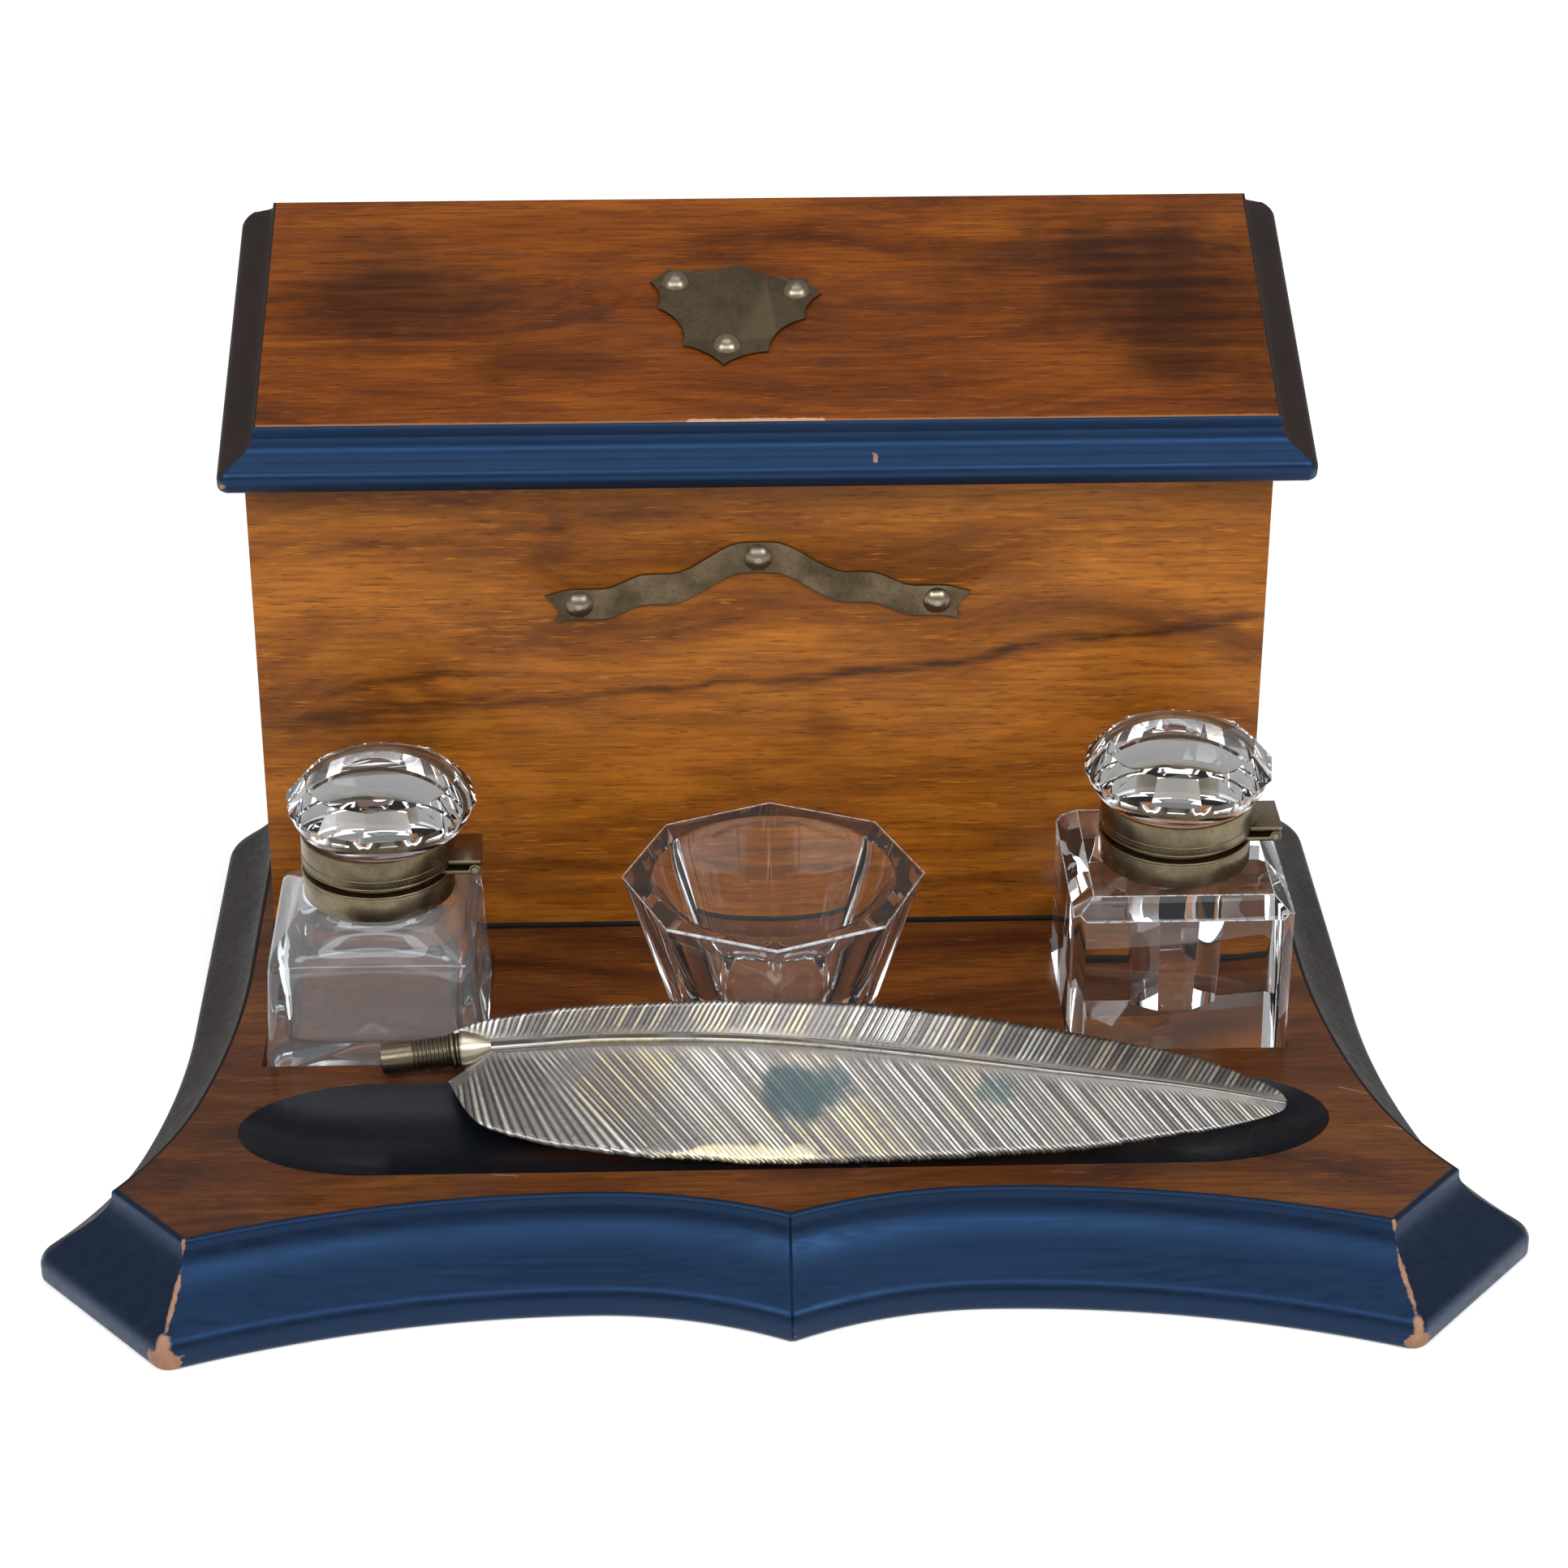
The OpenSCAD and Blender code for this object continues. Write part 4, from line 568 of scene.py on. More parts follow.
feather_metal = feather_finish()
FINISH = {finish.name: finish.material for finish in (
    walnut_base, walnut_box, walnut_lid, inside_wood, ebony_base, dark_base_side, dark_brass, nail_brass,
    hinge_brass, collar_brass, ferrule_brass, feather_metal, cut_glass, moulded_glass, cap_glass, cup_glass)}
slot_of = {row["node"]: row["material_slot"] for row in frame["record"]["subparts"]}


def finish_of(name):
    if name == "box_floor":
        return foot_line.material
    if name.startswith("lid_moulding"):
        return (ebony_lid if name.endswith("front") else dark_side).material
    return FINISH[slot_of[name]]


for name, solid in nodes.items():
    for material_slot in solid.material_slots:
        material_slot.material = finish_of(name)


def let_light_in(piece, node):
    """Clear glass casts no shadow, so that what stands inside or under it is lit."""
    if slot_of[node] in GLASS:
        piece.visible_shadow = False


# ---- pieces
def body_name(node):
    return nodes[node]["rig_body"]


def placed(name, data):
    """New object in the scene, at the origin."""
    thing = bpy.data.objects.new(name, data)
    bpy.context.scene.collection.objects.link(thing)
    return thing


def new_piece(name, mesh, node, smooth):
    """Piece from a mesh, in a node's finish and on its body."""
    piece = placed(name, mesh)
    mesh.materials.clear()
    mesh.materials.append(finish_of(node))
    for face in mesh.polygons:
        face.use_smooth = smooth
    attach(piece, body_name(node))
    return piece


def stand_in(name, mesh, node, smooth=True, *others):
    """New piece in place of a node, and of others that it takes in."""
    piece = new_piece(name, mesh, node, smooth)
    let_light_in(piece, node)
    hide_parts(node, *others)
    return piece


def add_on(name, mesh, node, smooth=True):
    """New piece that goes with a node and hides nothing."""
    piece = new_piece(name, mesh, node, smooth)
    return piece


def smooth_by_angle(mesh, degrees):
    """Smooth shading, with creases where faces meet at more than an angle."""
    bm = bmesh.new()
    bm.from_mesh(mesh)
    limit = math.radians(degrees)
    for edge in bm.edges:
        edge.smooth = len(edge.link_faces) == 2 and edge.calc_face_angle(0.0) < limit
    for face in bm.faces:
        face.smooth = True
    bm.to_mesh(mesh)
    bm.free()


def clean_copy(node):
    """A node's mesh with its loose triangles joined and its flat faces whole."""
    bm = bmesh.new()
    bm.from_mesh(nodes[node].data)
    bmesh.ops.remove_doubles(bm, verts=bm.verts, dist=0.000002)
    bmesh.ops.dissolve_limit(bm, angle_limit=math.radians(0.6), verts=bm.verts, edges=bm.edges)
    return bm


def ease_edges(bm, width, steps, limit=25.0):
    """Rounds every edge sharper than a limit."""
    sharp = [e for e in bm.edges if len(e.link_faces) == 2 and e.calc_face_angle(0.0) > math.radians(limit)]
    bmesh.ops.bevel(bm, geom=sharp, offset=width, offset_type="OFFSET", segments=steps, profile=0.5,
                    affect="EDGES", clamp_overlap=True)


def softened(node, width, steps=2, crease=32):
    """A node with eased edges, in its place."""
    bm = clean_copy(node)
    ease_edges(bm, width * MM, steps)
    mesh = bpy.data.meshes.new("soft_" + node)
    bm.to_mesh(mesh)
    bm.free()
    piece = stand_in("soft_" + node, mesh, node)
    smooth_by_angle(mesh, crease)
    return piece


def mesh_from(name, points, faces, joined=True):
    """Mesh from points in millimetres, with points that meet joined and its faces turned outwards."""
    mesh = bpy.data.meshes.new(name)
    mesh.from_pydata([Vector(p) * MM for p in points], [], faces)
    bm = bmesh.new()
    bm.from_mesh(mesh)
    if joined:
        bmesh.ops.remove_doubles(bm, verts=bm.verts, dist=0.000001)
    bmesh.ops.recalc_face_normals(bm, faces=bm.faces)
    bm.to_mesh(mesh)
    bm.free()
    mesh.update()
    return mesh


def ring_faces(rings, steps):
    """Faces of a skin over a stack of rings, each of the same number of points."""
    faces = []
    for a in range(0, (rings - 1) * steps, steps):
        b = a + steps
        for k in range(steps):
            n = (k + 1) % steps
            faces.append((a + k, a + n, b + n, b + k))
    return faces


# ---- base mouldings, one sweep for each length
def rounded(profile, radii, steps=4):
    """A closed profile with some of its corners rounded: a radius for each corner, 0 for a sharp one."""
    out = []
    count = len(profile)
    for i, (corner, r) in enumerate(zip(profile, radii)):
        corner = Vector(corner)
        if not r:
            out.append(corner)
            continue
        a = (Vector(profile[i - 1]) - corner).normalized()
        b = (Vector(profile[(i + 1) % count]) - corner).normalized()
        half = a.angle(b) / 2
        cut = r / math.tan(half)
        centre = corner + (a + b).normalized() * (r / math.sin(half))
        start, end = corner + a * cut - centre, corner + b * cut - centre
        for k in range(steps + 1):
            share = k / steps
            out.append(centre + (start * (1 - share) + end * share).normalized() * r)
    return out


def eased_curve(a, b, c, d, count):
    """Points of a cubic between a and d, drawn towards b and c."""
    a, b, c, d = (Vector(p) for p in (a, b, c, d))
    out = []
    for k in range(count + 1):
        t = k / count
        out.append(a * (1 - t) ** 3 + b * 3 * t * (1 - t) ** 2 + c * 3 * t * t * (1 - t) + d * t ** 3)
    return out


def nose_points(centre, r, start, count):
    """Round nose from an angle down to its widest point."""
    return [Vector(centre) + r * Vector((math.cos(a), math.sin(a)))
            for a in (math.radians(start) * (1 - k / count) for k in range(count + 1))]


def base_profile():
    """The moulding's section as (out from the board, up): shoulder, long cove and round nose."""
    nose_r = 4.4
    nose = nose_points((MOULD_W - nose_r, 4.3), nose_r, 52, 8)
    points = [(0, BASE_T), (1.2, BASE_T)]
    points += eased_curve((1.35, BASE_T - 2.4), (2.5, BASE_T - 7.0),
                          nose[0] + Vector((-4.1, 3.35)), nose[0], 14)
    points += nose[1:]
    radii = [0, 1.0, 0.5] + [0] * (len(points) - 3)
    points += [(MOULD_W, 0), (0, 0)]
    radii += [1.5, 0]
    return rounded(points, radii)


def lid_profile():
    """The lid moulding's section: flat edge, cove, small step and round nose."""
    nose_r = 2.75
    nose = nose_points((LID_MOULD_W - nose_r, 2.95), nose_r, 88, 8)
    points = [(0, LID_T), (0.75, LID_T)]
    points += eased_curve((0.85, LID_T - 2.9), (1.5, LID_T - 5.3), (3.3, 6.3), (6.1, 6.0), 12)
    points += nose
    radii = [0, 0.5, 0.25] + [0] * (len(points) - 3)
    points += [(LID_MOULD_W, 0), (0, 0)]
    radii += [1.1, 0]
    return rounded(points, radii)


def arc_points(centre, r, a0, a1, count):
    return [centre + r * Vector((math.cos(a), math.sin(a)))
            for a in (a0 + (a1 - a0) * k / count for k in range(count + 1))]


def mitre_angle(corner, step, centre, r):
    """Angle, round the arc's centre, at which its circle of radius r meets the mitre line."""
    u = step.normalized()
    c = corner - centre
    half = c.dot(u)
    root = math.sqrt(max(0.0, half * half - c.dot(c) + r * r))
    near = min((-half - root, -half + root), key=lambda s: abs(s) if s > -0.01 else 1e9)
    p = c + u * near
    return math.atan2(p.y, p.x)


def worn_corner(corner, back, ahead, r, count=5):
    """Half of a worn corner, from its start to its middle; back and ahead lead off the corner."""
    back, ahead = back.normalized(), ahead.normalized()
    half = back.angle(ahead) / 2
    centre = corner + (back + ahead).normalized() * (r / math.sin(half))
    start = corner + back * (r / math.tan(half)) - centre
    mid = -(back + ahead).normalized() * r
    return [centre + (start * (1 - k / count) + mid * (k / count)).normalized() * r for k in range(count + 1)]


def wear(out, width, most):
    """Radius of a worn corner: none on the inside, most at the nose."""
    share = max(0.0, (out / width - 0.5) / 0.5)
    return 0.02 + most * share * share * (3 - 2 * share)


def front_corner(out):
    """Where the front meets the clipped corner, and the ways back along each, at a distance out."""
    centre = Vector((FRONT_PEAK_X, peak_y - front_r))
    a = mitre_angle(clip_front, front_step, centre, front_r - out)
    corner = centre + (front_r - out) * Vector((math.cos(a), math.sin(a)))
    return centre, a, corner, Vector((-math.sin(a), math.cos(a)))


def tip_corner(out):
    a = mitre_angle(clip_back, tip_step, flare_centre, FLARE_R - out) % (2 * math.pi)
    corner = flare_centre + (FLARE_R - out) * Vector((math.cos(a), math.sin(a)))
    return a, corner, Vector((math.sin(a), -math.cos(a)))


CORNER_WEAR = 4.0


def front_path(out, up):
    """Plan of the front at a distance out from the board: from the centre point to the mitre."""
    centre = Vector((FRONT_PEAK_X, peak_y - point_r))
    r = point_r - out
    start = math.acos(-FRONT_PEAK_X / r)
    path = arc_points(centre, r, start, math.pi / 2, 30)
    joint = [path[0] + Vector((0, 0.45 if out > 1 else 0)), path[0] * 0.75 + path[1] * 0.25]
    centre, a, corner, back = front_corner(out)
    ahead = tip_corner(out)[1] - corner
    r = wear(out, MOULD_W, CORNER_WEAR)
    end = a + r / math.tan(back.angle(ahead) / 2) / (front_r - out)
    path = joint + path[1:] + arc_points(centre, front_r - out, math.pi / 2, end, 44)[1:-1]
    return path + worn_corner(corner, back, ahead, r)


def corner_path(out, up):
    first, back = front_corner(out)[2:]
    last, away = tip_corner(out)[1:]
    r = wear(out, MOULD_W, CORNER_WEAR)
    return worn_corner(first, last - first, back, r)[::-1] + worn_corner(last, first - last, away, r)


def side_path(out, up):
    """Plan of a side: the flare behind the clipped corner, the long sweep and the rounded back corner."""
    a, corner, away = tip_corner(out)
    first = front_corner(out)[2]
    r = wear(out, MOULD_W, CORNER_WEAR)
    begin = a - r / math.tan(away.angle(first - corner) / 2) / (FLARE_R - out)
    path = worn_corner(corner, away, first - corner, r)[::-1]
    path += arc_points(flare_centre, FLARE_R - out, begin, math.pi + SWEEP_TURN, 26)[1:]
    path += arc_points(sweep_centre, SWEEP_R - out, math.pi + SWEEP_TURN, math.pi, 26)[1:]
    path += arc_points(Vector((board_half, board_back)), max(out, 0.01), 0, math.pi / 2, 12)
    return path


def swept(name, path_at, profile, mirrored, place=lambda p: p):
    """Closed length of moulding: each point (out, up) of the profile along its own line in plan."""
    lines = [[place(Vector((p.x * (-1 if mirrored else 1), p.y, spot.y))) for p in path_at(spot.x, spot.y)]
             for spot in profile]
    rows, length = len(lines), len(lines[0])
    points = [p for line in lines for p in line]
    faces = []
    for i in range(rows):
        j = (i + 1) % rows
        for k in range(length - 1):
            faces.append((i * length + k, i * length + k + 1, j * length + k + 1, j * length + k))
    faces.append([i * length for i in range(rows)])
    faces.append([i * length + length - 1 for i in range(rows)])
    return mesh_from(name, points, faces)


section = base_profile()
for side in ("left", "right"):
    flip = side == "left"
    lengths = [("front", front_path, ("base_moulding_point_" + side,)), ("corner", corner_path, ()),
               ("side", side_path, ("base_moulding_flare_" + side,))]
    for part, path, extra in lengths:
        node = f"base_moulding_{part}_{side}"
        moulding = swept(node + "_piece", path, section, flip)
        stand_in(node + "_piece", moulding, node, True, *extra)
        smooth_by_angle(moulding, 40)
softened("base_moulding_back", 0.3)

# ---- lid mouldings
LID_WEAR = 2.4


def lid_front_path(out, up):
    corner = lid_front + Vector((out, -out))
    half = worn_corner(corner, Vector((-1, 0)), Vector((0, 1)), wear(out, LID_MOULD_W, LID_WEAR))
    return [Vector((-p.x, p.y)) for p in half[::-1]] + half


def lid_side_path(out, up):
    corner = lid_front + Vector((out, -out))
    path = worn_corner(corner, Vector((0, 1)), Vector((-1, 0)), wear(out, LID_MOULD_W, LID_WEAR))[::-1]
    rise = max(0.0, up - (LID_T - HEEL_BEVEL)) / HEEL_BEVEL
    heel = lid_brow + HEEL_OVER * (1 - rise)
    end = min(heel, LID_MOULD_W - out + lid_brow + HEEL_OVER - HEEL_CORNER)
    return path + [Vector((corner.x, path[-1].y + (end - path[-1].y) * k / 6)) for k in range(1, 7)]


lid_section = lid_profile()
for part, path, flip in (("front", lid_front_path, False), ("right", lid_side_path, False),
                         ("left", lid_side_path, True)):
    node = "lid_moulding_" + part
    moulding = swept(node + "_piece", path, lid_section, flip, lambda p: lid_place @ p)
    stand_in(node + "_piece", moulding, node)
    smooth_by_angle(moulding, 40)

# ---- woodwork with eased edges
for node, width in (("box_front", 0.55), ("box_back", 0.5), ("box_side_left", 0.4), ("box_side_right", 0.4),
                    ("box_floor", 0.3), ("divider_front", 0.6), ("divider_rear", 0.6), ("lid_panel", 0.5)):
    softened(node, width)

# ---- brass plates, with a bright chamfer round the edge
for node in ("ribbon_plate", "shield_plate"):
    softened(node, 0.38, 2, 20)


# ---- lathe work
def turned(name, profile, start, axis, steps=96):
    """Solid of revolution: profile as (radius, height) from the axis at one end to the axis at the other."""
    axis = Vector(axis).normalized()
    side = axis.orthogonal().normalized()
    across = axis.cross(side)
    points = []
    for r, h in profile:
        for k in range(steps):
            a = 2 * math.pi * k / steps
            spoke = side * math.cos(a) + across * math.sin(a)
            points.append(Vector(start) + axis * h + spoke * max(r, 0.0))
    return mesh_from(name, points, ring_faces(len(profile), steps))


def closed_ring(profile):
    """Profile of a ring, which ends where it began."""
    return list(profile) + [profile[0]]


def bead(r, h, size, steps=5):
    """Half-round bead on a turned profile, at radius r and from height h up."""
    return [(r + size * math.sin(math.pi * k / steps), h + size * (1 - math.cos(math.pi * k / steps)))
            for k in range(steps + 1)]


def groove(r, h, size, steps=4):
    return [(r - size * math.sin(math.pi * k / steps), h + size * (1 - math.cos(math.pi * k / steps)))
            for k in range(steps + 1)]


# ---- cut stoppers
RING_LIFT = COLLAR_H + SEAT_H + 0.1
FACETS = 12


def stopper_mesh(name, centre, ring_top, shift, first_edge):
    """Slanted facets round a smooth crown, over a thick rim and a plug in the cap ring."""
    plug_r = COLLAR_R - COLLAR_WALL - 0.15
    levels = [("plug", r, ring_top + z) for r, z in
              ((0.0, 1.0 - CAP_RING_H), (plug_r - 0.4, 1.0 - CAP_RING_H), (plug_r, 1.5 - CAP_RING_H),
               (plug_r, -0.05))]
    levels += [("round", r, ring_top + z) for r, z in
               ((COLLAR_R - 0.7, 0.03), (COLLAR_R + 0.2, 0.6), (19.5, 2.3), (20.7, 4.3), (21.5, 6.4))]
    table_r, table_z, top = 17.3, GIRDLE_Z + 7.7, GIRDLE_Z + CROWN_H - 0.6
    levels += [("facet", GIRDLE_R, ring_top + GIRDLE_Z + 2.4), ("facet", table_r + 0.6, ring_top + table_z)]
    sag = top - table_z
    dome_r = (table_r ** 2 + sag ** 2) / (2 * sag)
    for k in range(15):
        r = table_r * (1 - k / 14)
        levels.append(("dome", r, ring_top + top - dome_r + math.sqrt(dome_r ** 2 - r ** 2)))
    steps, facet = 12 * FACETS, 2 * math.pi / FACETS
    points = []
    for kind, r, z in levels:
        moved = 0.0 if kind == "plug" else shift
        for k in range(steps):
            a = first_edge + 2 * math.pi * k / steps
            part = (a - first_edge) % facet - facet / 2
            reach = r * math.cos(facet / 2) / math.cos(part) if kind == "facet" else r
            points.append((centre.x + moved + reach * math.cos(a), centre.y + reach * math.sin(a), z))
    return mesh_from(name, points, ring_faces(len(levels), steps))


for side, centre, top, shift in (("right", RIGHT_WELL, RIGHT_TOP, 0.0),
                                 ("left", LEFT_WELL, LEFT_TOP, LEFT_CAP_SHIFT)):
    ring_foot = top + RING_LIFT
    stopper = stopper_mesh(f"stopper_{side}", centre, ring_foot + CAP_RING_H, shift,
                           math.radians(-83 if side == "right" else -97))
    stand_in(f"stopper_{side}", stopper, f"inkwell_{side}_cap_glass")
    smooth_by_angle(stopper, 9)


# ---- collars and cap rings: eased edges, turned beads and rows of punched dots
DOTS = 120


def dotted_band(name, centre, r, z, size, node):
    """Row of tiny punched dots round a band."""
    maker = bpy.data.node_groups.new(name + "_dots", "GeometryNodeTree")
    maker.interface.new_socket("Geometry", in_out="OUTPUT", socket_type="NodeSocketGeometry")

    def asked(label, kind):
        return maker.interface.new_socket(label, in_out="INPUT", socket_type="NodeSocket" + kind)

    radius, amount = asked("Radius", "Float"), asked("Dots", "Int")
    dot, coat = asked("Dot size", "Float"), asked("Material", "Material")
    make = maker.nodes.new
    inputs, outputs = make("NodeGroupInput"), make("NodeGroupOutput")
    circle, seed = make("GeometryNodeMeshCircle"), make("GeometryNodeMeshIcoSphere")
    place = make("GeometryNodeInstanceOnPoints")
    whole, paint = make("GeometryNodeRealizeInstances"), make("GeometryNodeSetMaterial")
    seed.inputs["Subdivisions"].default_value = 1
    wire = maker.links.new
    wire(inputs.outputs["Radius"], circle.inputs["Radius"])
    wire(inputs.outputs["Dots"], circle.inputs["Vertices"])
    wire(inputs.outputs["Dot size"], seed.inputs["Radius"])
    wire(circle.outputs[0], place.inputs["Points"])
    wire(seed.outputs["Mesh"], place.inputs["Instance"])
    wire(place.outputs[0], whole.inputs[0])
    wire(whole.outputs[0], paint.inputs["Geometry"])
    wire(inputs.outputs["Material"], paint.inputs["Material"])
    wire(paint.outputs[0], outputs.inputs[0])
    holder = placed(name + "_maker", bpy.data.meshes.new(name + "_maker"))
    modifier = holder.modifiers.new("dots", "NODES")
    modifier.node_group = maker
    modifier[radius.identifier] = r * MM
    modifier[amount.identifier] = DOTS
    modifier[dot.identifier] = size * MM
    modifier[coat.identifier] = finish_of(node)
    bpy.context.view_layer.update()
    depsgraph = bpy.context.evaluated_depsgraph_get()
    mesh = bpy.data.meshes.new_from_object(holder.evaluated_get(depsgraph))
    bpy.data.objects.remove(holder)
    mesh.transform(Matrix.Translation((centre.x * MM, centre.y * MM, z * MM)))
    mesh.name = name
    return add_on(name, mesh, node)


def hoop(name, centre, r, z, tube, node):
    """Thin turned bead round a band."""
    profile = [(r + tube * math.cos(math.pi * k / 5), z + tube * math.sin(math.pi * k / 5))
               for k in range(10)]
    mesh = turned(name, closed_ring(profile), (centre.x, centre.y, 0), (0, 0, 1))
    return add_on(name, mesh, node)


for side, centre, top in (("right", RIGHT_WELL, RIGHT_TOP), ("left", LEFT_WELL, LEFT_TOP)):
    collar_node, ring_node = f"inkwell_{side}_collar", f"inkwell_{side}_cap_ring"
    softened(collar_node, 0.28, 2, 30)
    softened(ring_node, 0.28, 2, 30)
    ring_foot = top + RING_LIFT
    for name, inset, z, tube, node in (
            ("collar_rim", 0.12, top + COLLAR_H - 0.32, 0.34, collar_node),
            ("collar_bead", 0.06, top + COLLAR_H - 1.15, 0.16, collar_node),
            ("ring_bead", 0.06, ring_foot + 2.3, 0.2, ring_node),
            ("ring_rim", 0.08, ring_foot + 0.3, 0.24, ring_node)):
        hoop(f"{name}_{side}", centre, COLLAR_R - inset, z, tube, node)
    for name, z, node in (("collar", top + COLLAR_H - 1.75, collar_node),
                          ("ring", ring_foot + 1.5, ring_node)):
        dotted_band(f"{name}_dots_{side}", centre, COLLAR_R - 0.02, z, 0.16, node)


# ---- glass bodies
def painted_glint_rods(name, node, wanted, r):
    """Painted highlight lines along a glass piece's sharp edges, as thin pale rods; wanted(a, b) picks them,
    in mm.
    """
    bm = clean_copy(node)
    rods = []
    for edge in bm.edges:
        a, b = (v.co / MM for v in edge.verts)
        if len(edge.link_faces) == 2 and edge.calc_face_angle(0.0) > math.radians(22) and wanted(a, b):
            rods.append((a, b))
    bm.free()
    points, faces = [], []
    for a, b in rods:
        way = (b - a).normalized()
        side = way.orthogonal().normalized()
        across = way.cross(side)
        first = len(points)
        for end in (a, b):
            for k in range(6):
                turn = math.pi * k / 3
                points.append(end + (side * math.cos(turn) + across * math.sin(turn)) * r)
        for k in range(6):
            n = (k + 1) % 6
            faces.append((first + k, first + n, first + 6 + n, first + 6 + k))
        faces.append([first + k for k in range(6)])
        faces.append([first + 11 - k for k in range(6)])
    mesh = bpy.data.meshes.new(name)
    mesh.from_pydata([p * MM for p in points], [], faces)
    piece = add_on(name, mesh, node, False)
    # The rods take the pale finish, so they paint highlights along the edges.
    mesh.materials.clear()
    mesh.materials.append(painted_glint_glass.material)
    piece.visible_shadow = False
    return piece


def raised(piece, low, up):
    """Lifts a piece's foot a hair off what it stands on, so that the two faces don't lie in one plane."""
    for vertex in piece.data.vertices:
        if vertex.co.z < (low + 0.4) * MM:
            vertex.co.z += up * MM


foot = BASE_T - RECESS
raised(softened("inkwell_right_body", 0.3, 2, 20), foot, FOOT_CLEAR)


def moulded_block(name):
    """Pressed square well: dished sides, a shoulder drawn in to the neck, and a pinched square hollow."""
    mouth, neck = COLLAR_R - COLLAR_WALL - 2.6, COLLAR_R - COLLAR_WALL - 0.05
    block = LEFT_WELL - Vector((LEFT_BLOCK_SHIFT, 0))
    # height, half width, squareness and pinch of each level
    outer = [(FOOT_CLEAR, 24.6, 16, 0), (0.9, 25.6, 16, 0), (4.6, 25.5, 16, 0), (6.0, 25.3, 15, 0.02),
             (9, 25.1, 15, 0.05), (16, 24.7, 15, 0.065), (23, 24.3, 15, 0.045), (26.5, 24.0, 15, 0.015),
             (28.2, 23.7, 15, 0), (29.0, 23.1, 13, 0), (30.2, 21.9, 9, 0.012), (32.0, 20.7, 5.5, 0.015),
             (34.2, 19.6, 3.4, 0.008), (36.4, 18.2, 2.3, 0), (37.0, neck, 2, 0), (43.0, neck, 2, 0),
             (43.2, mouth, 2, 0)]
    inner = [(37.0, mouth, 2, 0), (35.0, mouth + 0.6, 2.2, 0), (32.6, 17.2, 3.0, 0), (30.0, 19.2, 5.0, 0.01),
             (27.6, 20.8, 9, 0.03), (25.6, 21.3, 12, 0.06), (20, 20.9, 12, 0.115), (14, 20.7, 12, 0.115),
             (9.5, 20.9, 12, 0.07), (7.6, 20.6, 11, 0.03), (6.6, 19.6, 9, 0.01), (6.2, 17, 7, 0)]
    steps = 128
    points = []
    levels = [(FOOT_CLEAR, 0.0, 2, 0)] + outer + inner + [(6.15, 0.0, 2, 0)]
    for z, half, power, pinch in levels:
        upward = min(1.0, max(0.0, (z - 28) / 9))
        centre = block.lerp(LEFT_WELL, upward)
        for k in range(steps):
            a = 2 * math.pi * (k + 0.5) / steps
            c, d = abs(math.cos(a)), abs(math.sin(a))
            reach = half / (c ** power + d ** power) ** (1 / power) * (1 - pinch * (1 + math.cos(4 * a)) / 2)
            points.append((centre.x + reach * math.cos(a), centre.y + reach * math.sin(a), foot + z))
    return mesh_from(name, points, ring_faces(len(levels), steps))


pressed = moulded_block("pressed_block")
stand_in("pressed_block", pressed, "inkwell_left_body")
smooth_by_angle(pressed, 50)


def cup_mesh(name):
    """Eight-sided cup with a ground rim and a round hollow that curves into its floor."""
    def eight(r, a):
        return r * math.cos(math.pi / 8) / math.cos((a - CUP_TURN) % (math.pi / 4) - math.pi / 8)

    levels = [(0.0, FOOT_CLEAR, False), (CUP_FOOT_R - 0.5, FOOT_CLEAR, True), (CUP_FOOT_R, 0.5, True)]
    levels += [(CUP_RIM_R - 0.15, CUP_H - 0.45, True), (CUP_RIM_R - 0.55, CUP_H - 0.02, True)]
    levels += [(CUP_BORE_R + 0.35, CUP_H - 0.02, False), (CUP_BORE_R, CUP_H - 0.35, False)]
    for p in eased_curve((CUP_BORE_R - 0.6, CUP_H - 3), (CUP_FLOOR_R + 5.6, CUP_FLOOR + 14),
                         (CUP_FLOOR_R + 2.6, CUP_FLOOR + 1.2), (CUP_FLOOR_R - 3, CUP_FLOOR), 16):
        levels.append((p.x, p.y, False))
    levels.append((0.0, CUP_FLOOR, False))
    steps = 96
    points = []
    for r, z, cut in levels:
        for k in range(steps):
            a = CUP_TURN + 2 * math.pi * k / steps
            reach = eight(r, a) if cut else r
            points.append((CUP_PLACE.x + reach * math.cos(a), CUP_PLACE.y + reach * math.sin(a), BASE_T + z))
    return mesh_from(name, points, ring_faces(len(levels), steps))


cup = cup_mesh("cut_cup")
stand_in("cut_cup", cup, "nib_cup")
smooth_by_angle(cup, 18)
rim_z = BASE_T + CUP_H


def on_rim(a, b):
    return min(a.z, b.z) > rim_z - 0.2 and (a.xy - CUP_PLACE).length > CUP_RIM_R - 3


# Painted highlights on the cut glass's edges: thick rods along the front of the cup's rim, thin ones along
# its back and on the cut block's top edges.
front_of_cup = CUP_PLACE.y - 20
painted_glint_rods("cup_front_glints", "nib_cup", lambda a, b: on_rim(a, b) and max(a.y, b.y) < front_of_cup, 0.36)
painted_glint_rods("cup_rim_glints", "nib_cup", lambda a, b: on_rim(a, b) and max(a.y, b.y) > front_of_cup, 0.10)
painted_glint_rods("cut_block_glints", "inkwell_right_body",
             lambda a, b: min(a.z, b.z) > RIGHT_TOP - 5 and (a.xy - RIGHT_WELL).length > 19, 0.13)


# ---- feather
def along(points, u):
    """Point on the smooth line through a list of points, at a place u counted along the list."""
    n = len(points) - 1
    i = min(n - 1, max(0, int(math.floor(u))))
    t = u - i
    a, b, c, d = (Vector(points[k]) for k in (max(0, i - 1), i, i + 1, min(n, i + 2)))
    return 0.5 * (2 * b + (c - a) * t + (2 * a - 5 * b + 4 * c - d) * t * t
                  + (3 * b - a - 3 * c + d) * t ** 3)


LAST = len(SHAFT_LINE) - 1
vane_out = Vector((0, -math.sin(VANE_TILT), math.cos(VANE_TILT)))


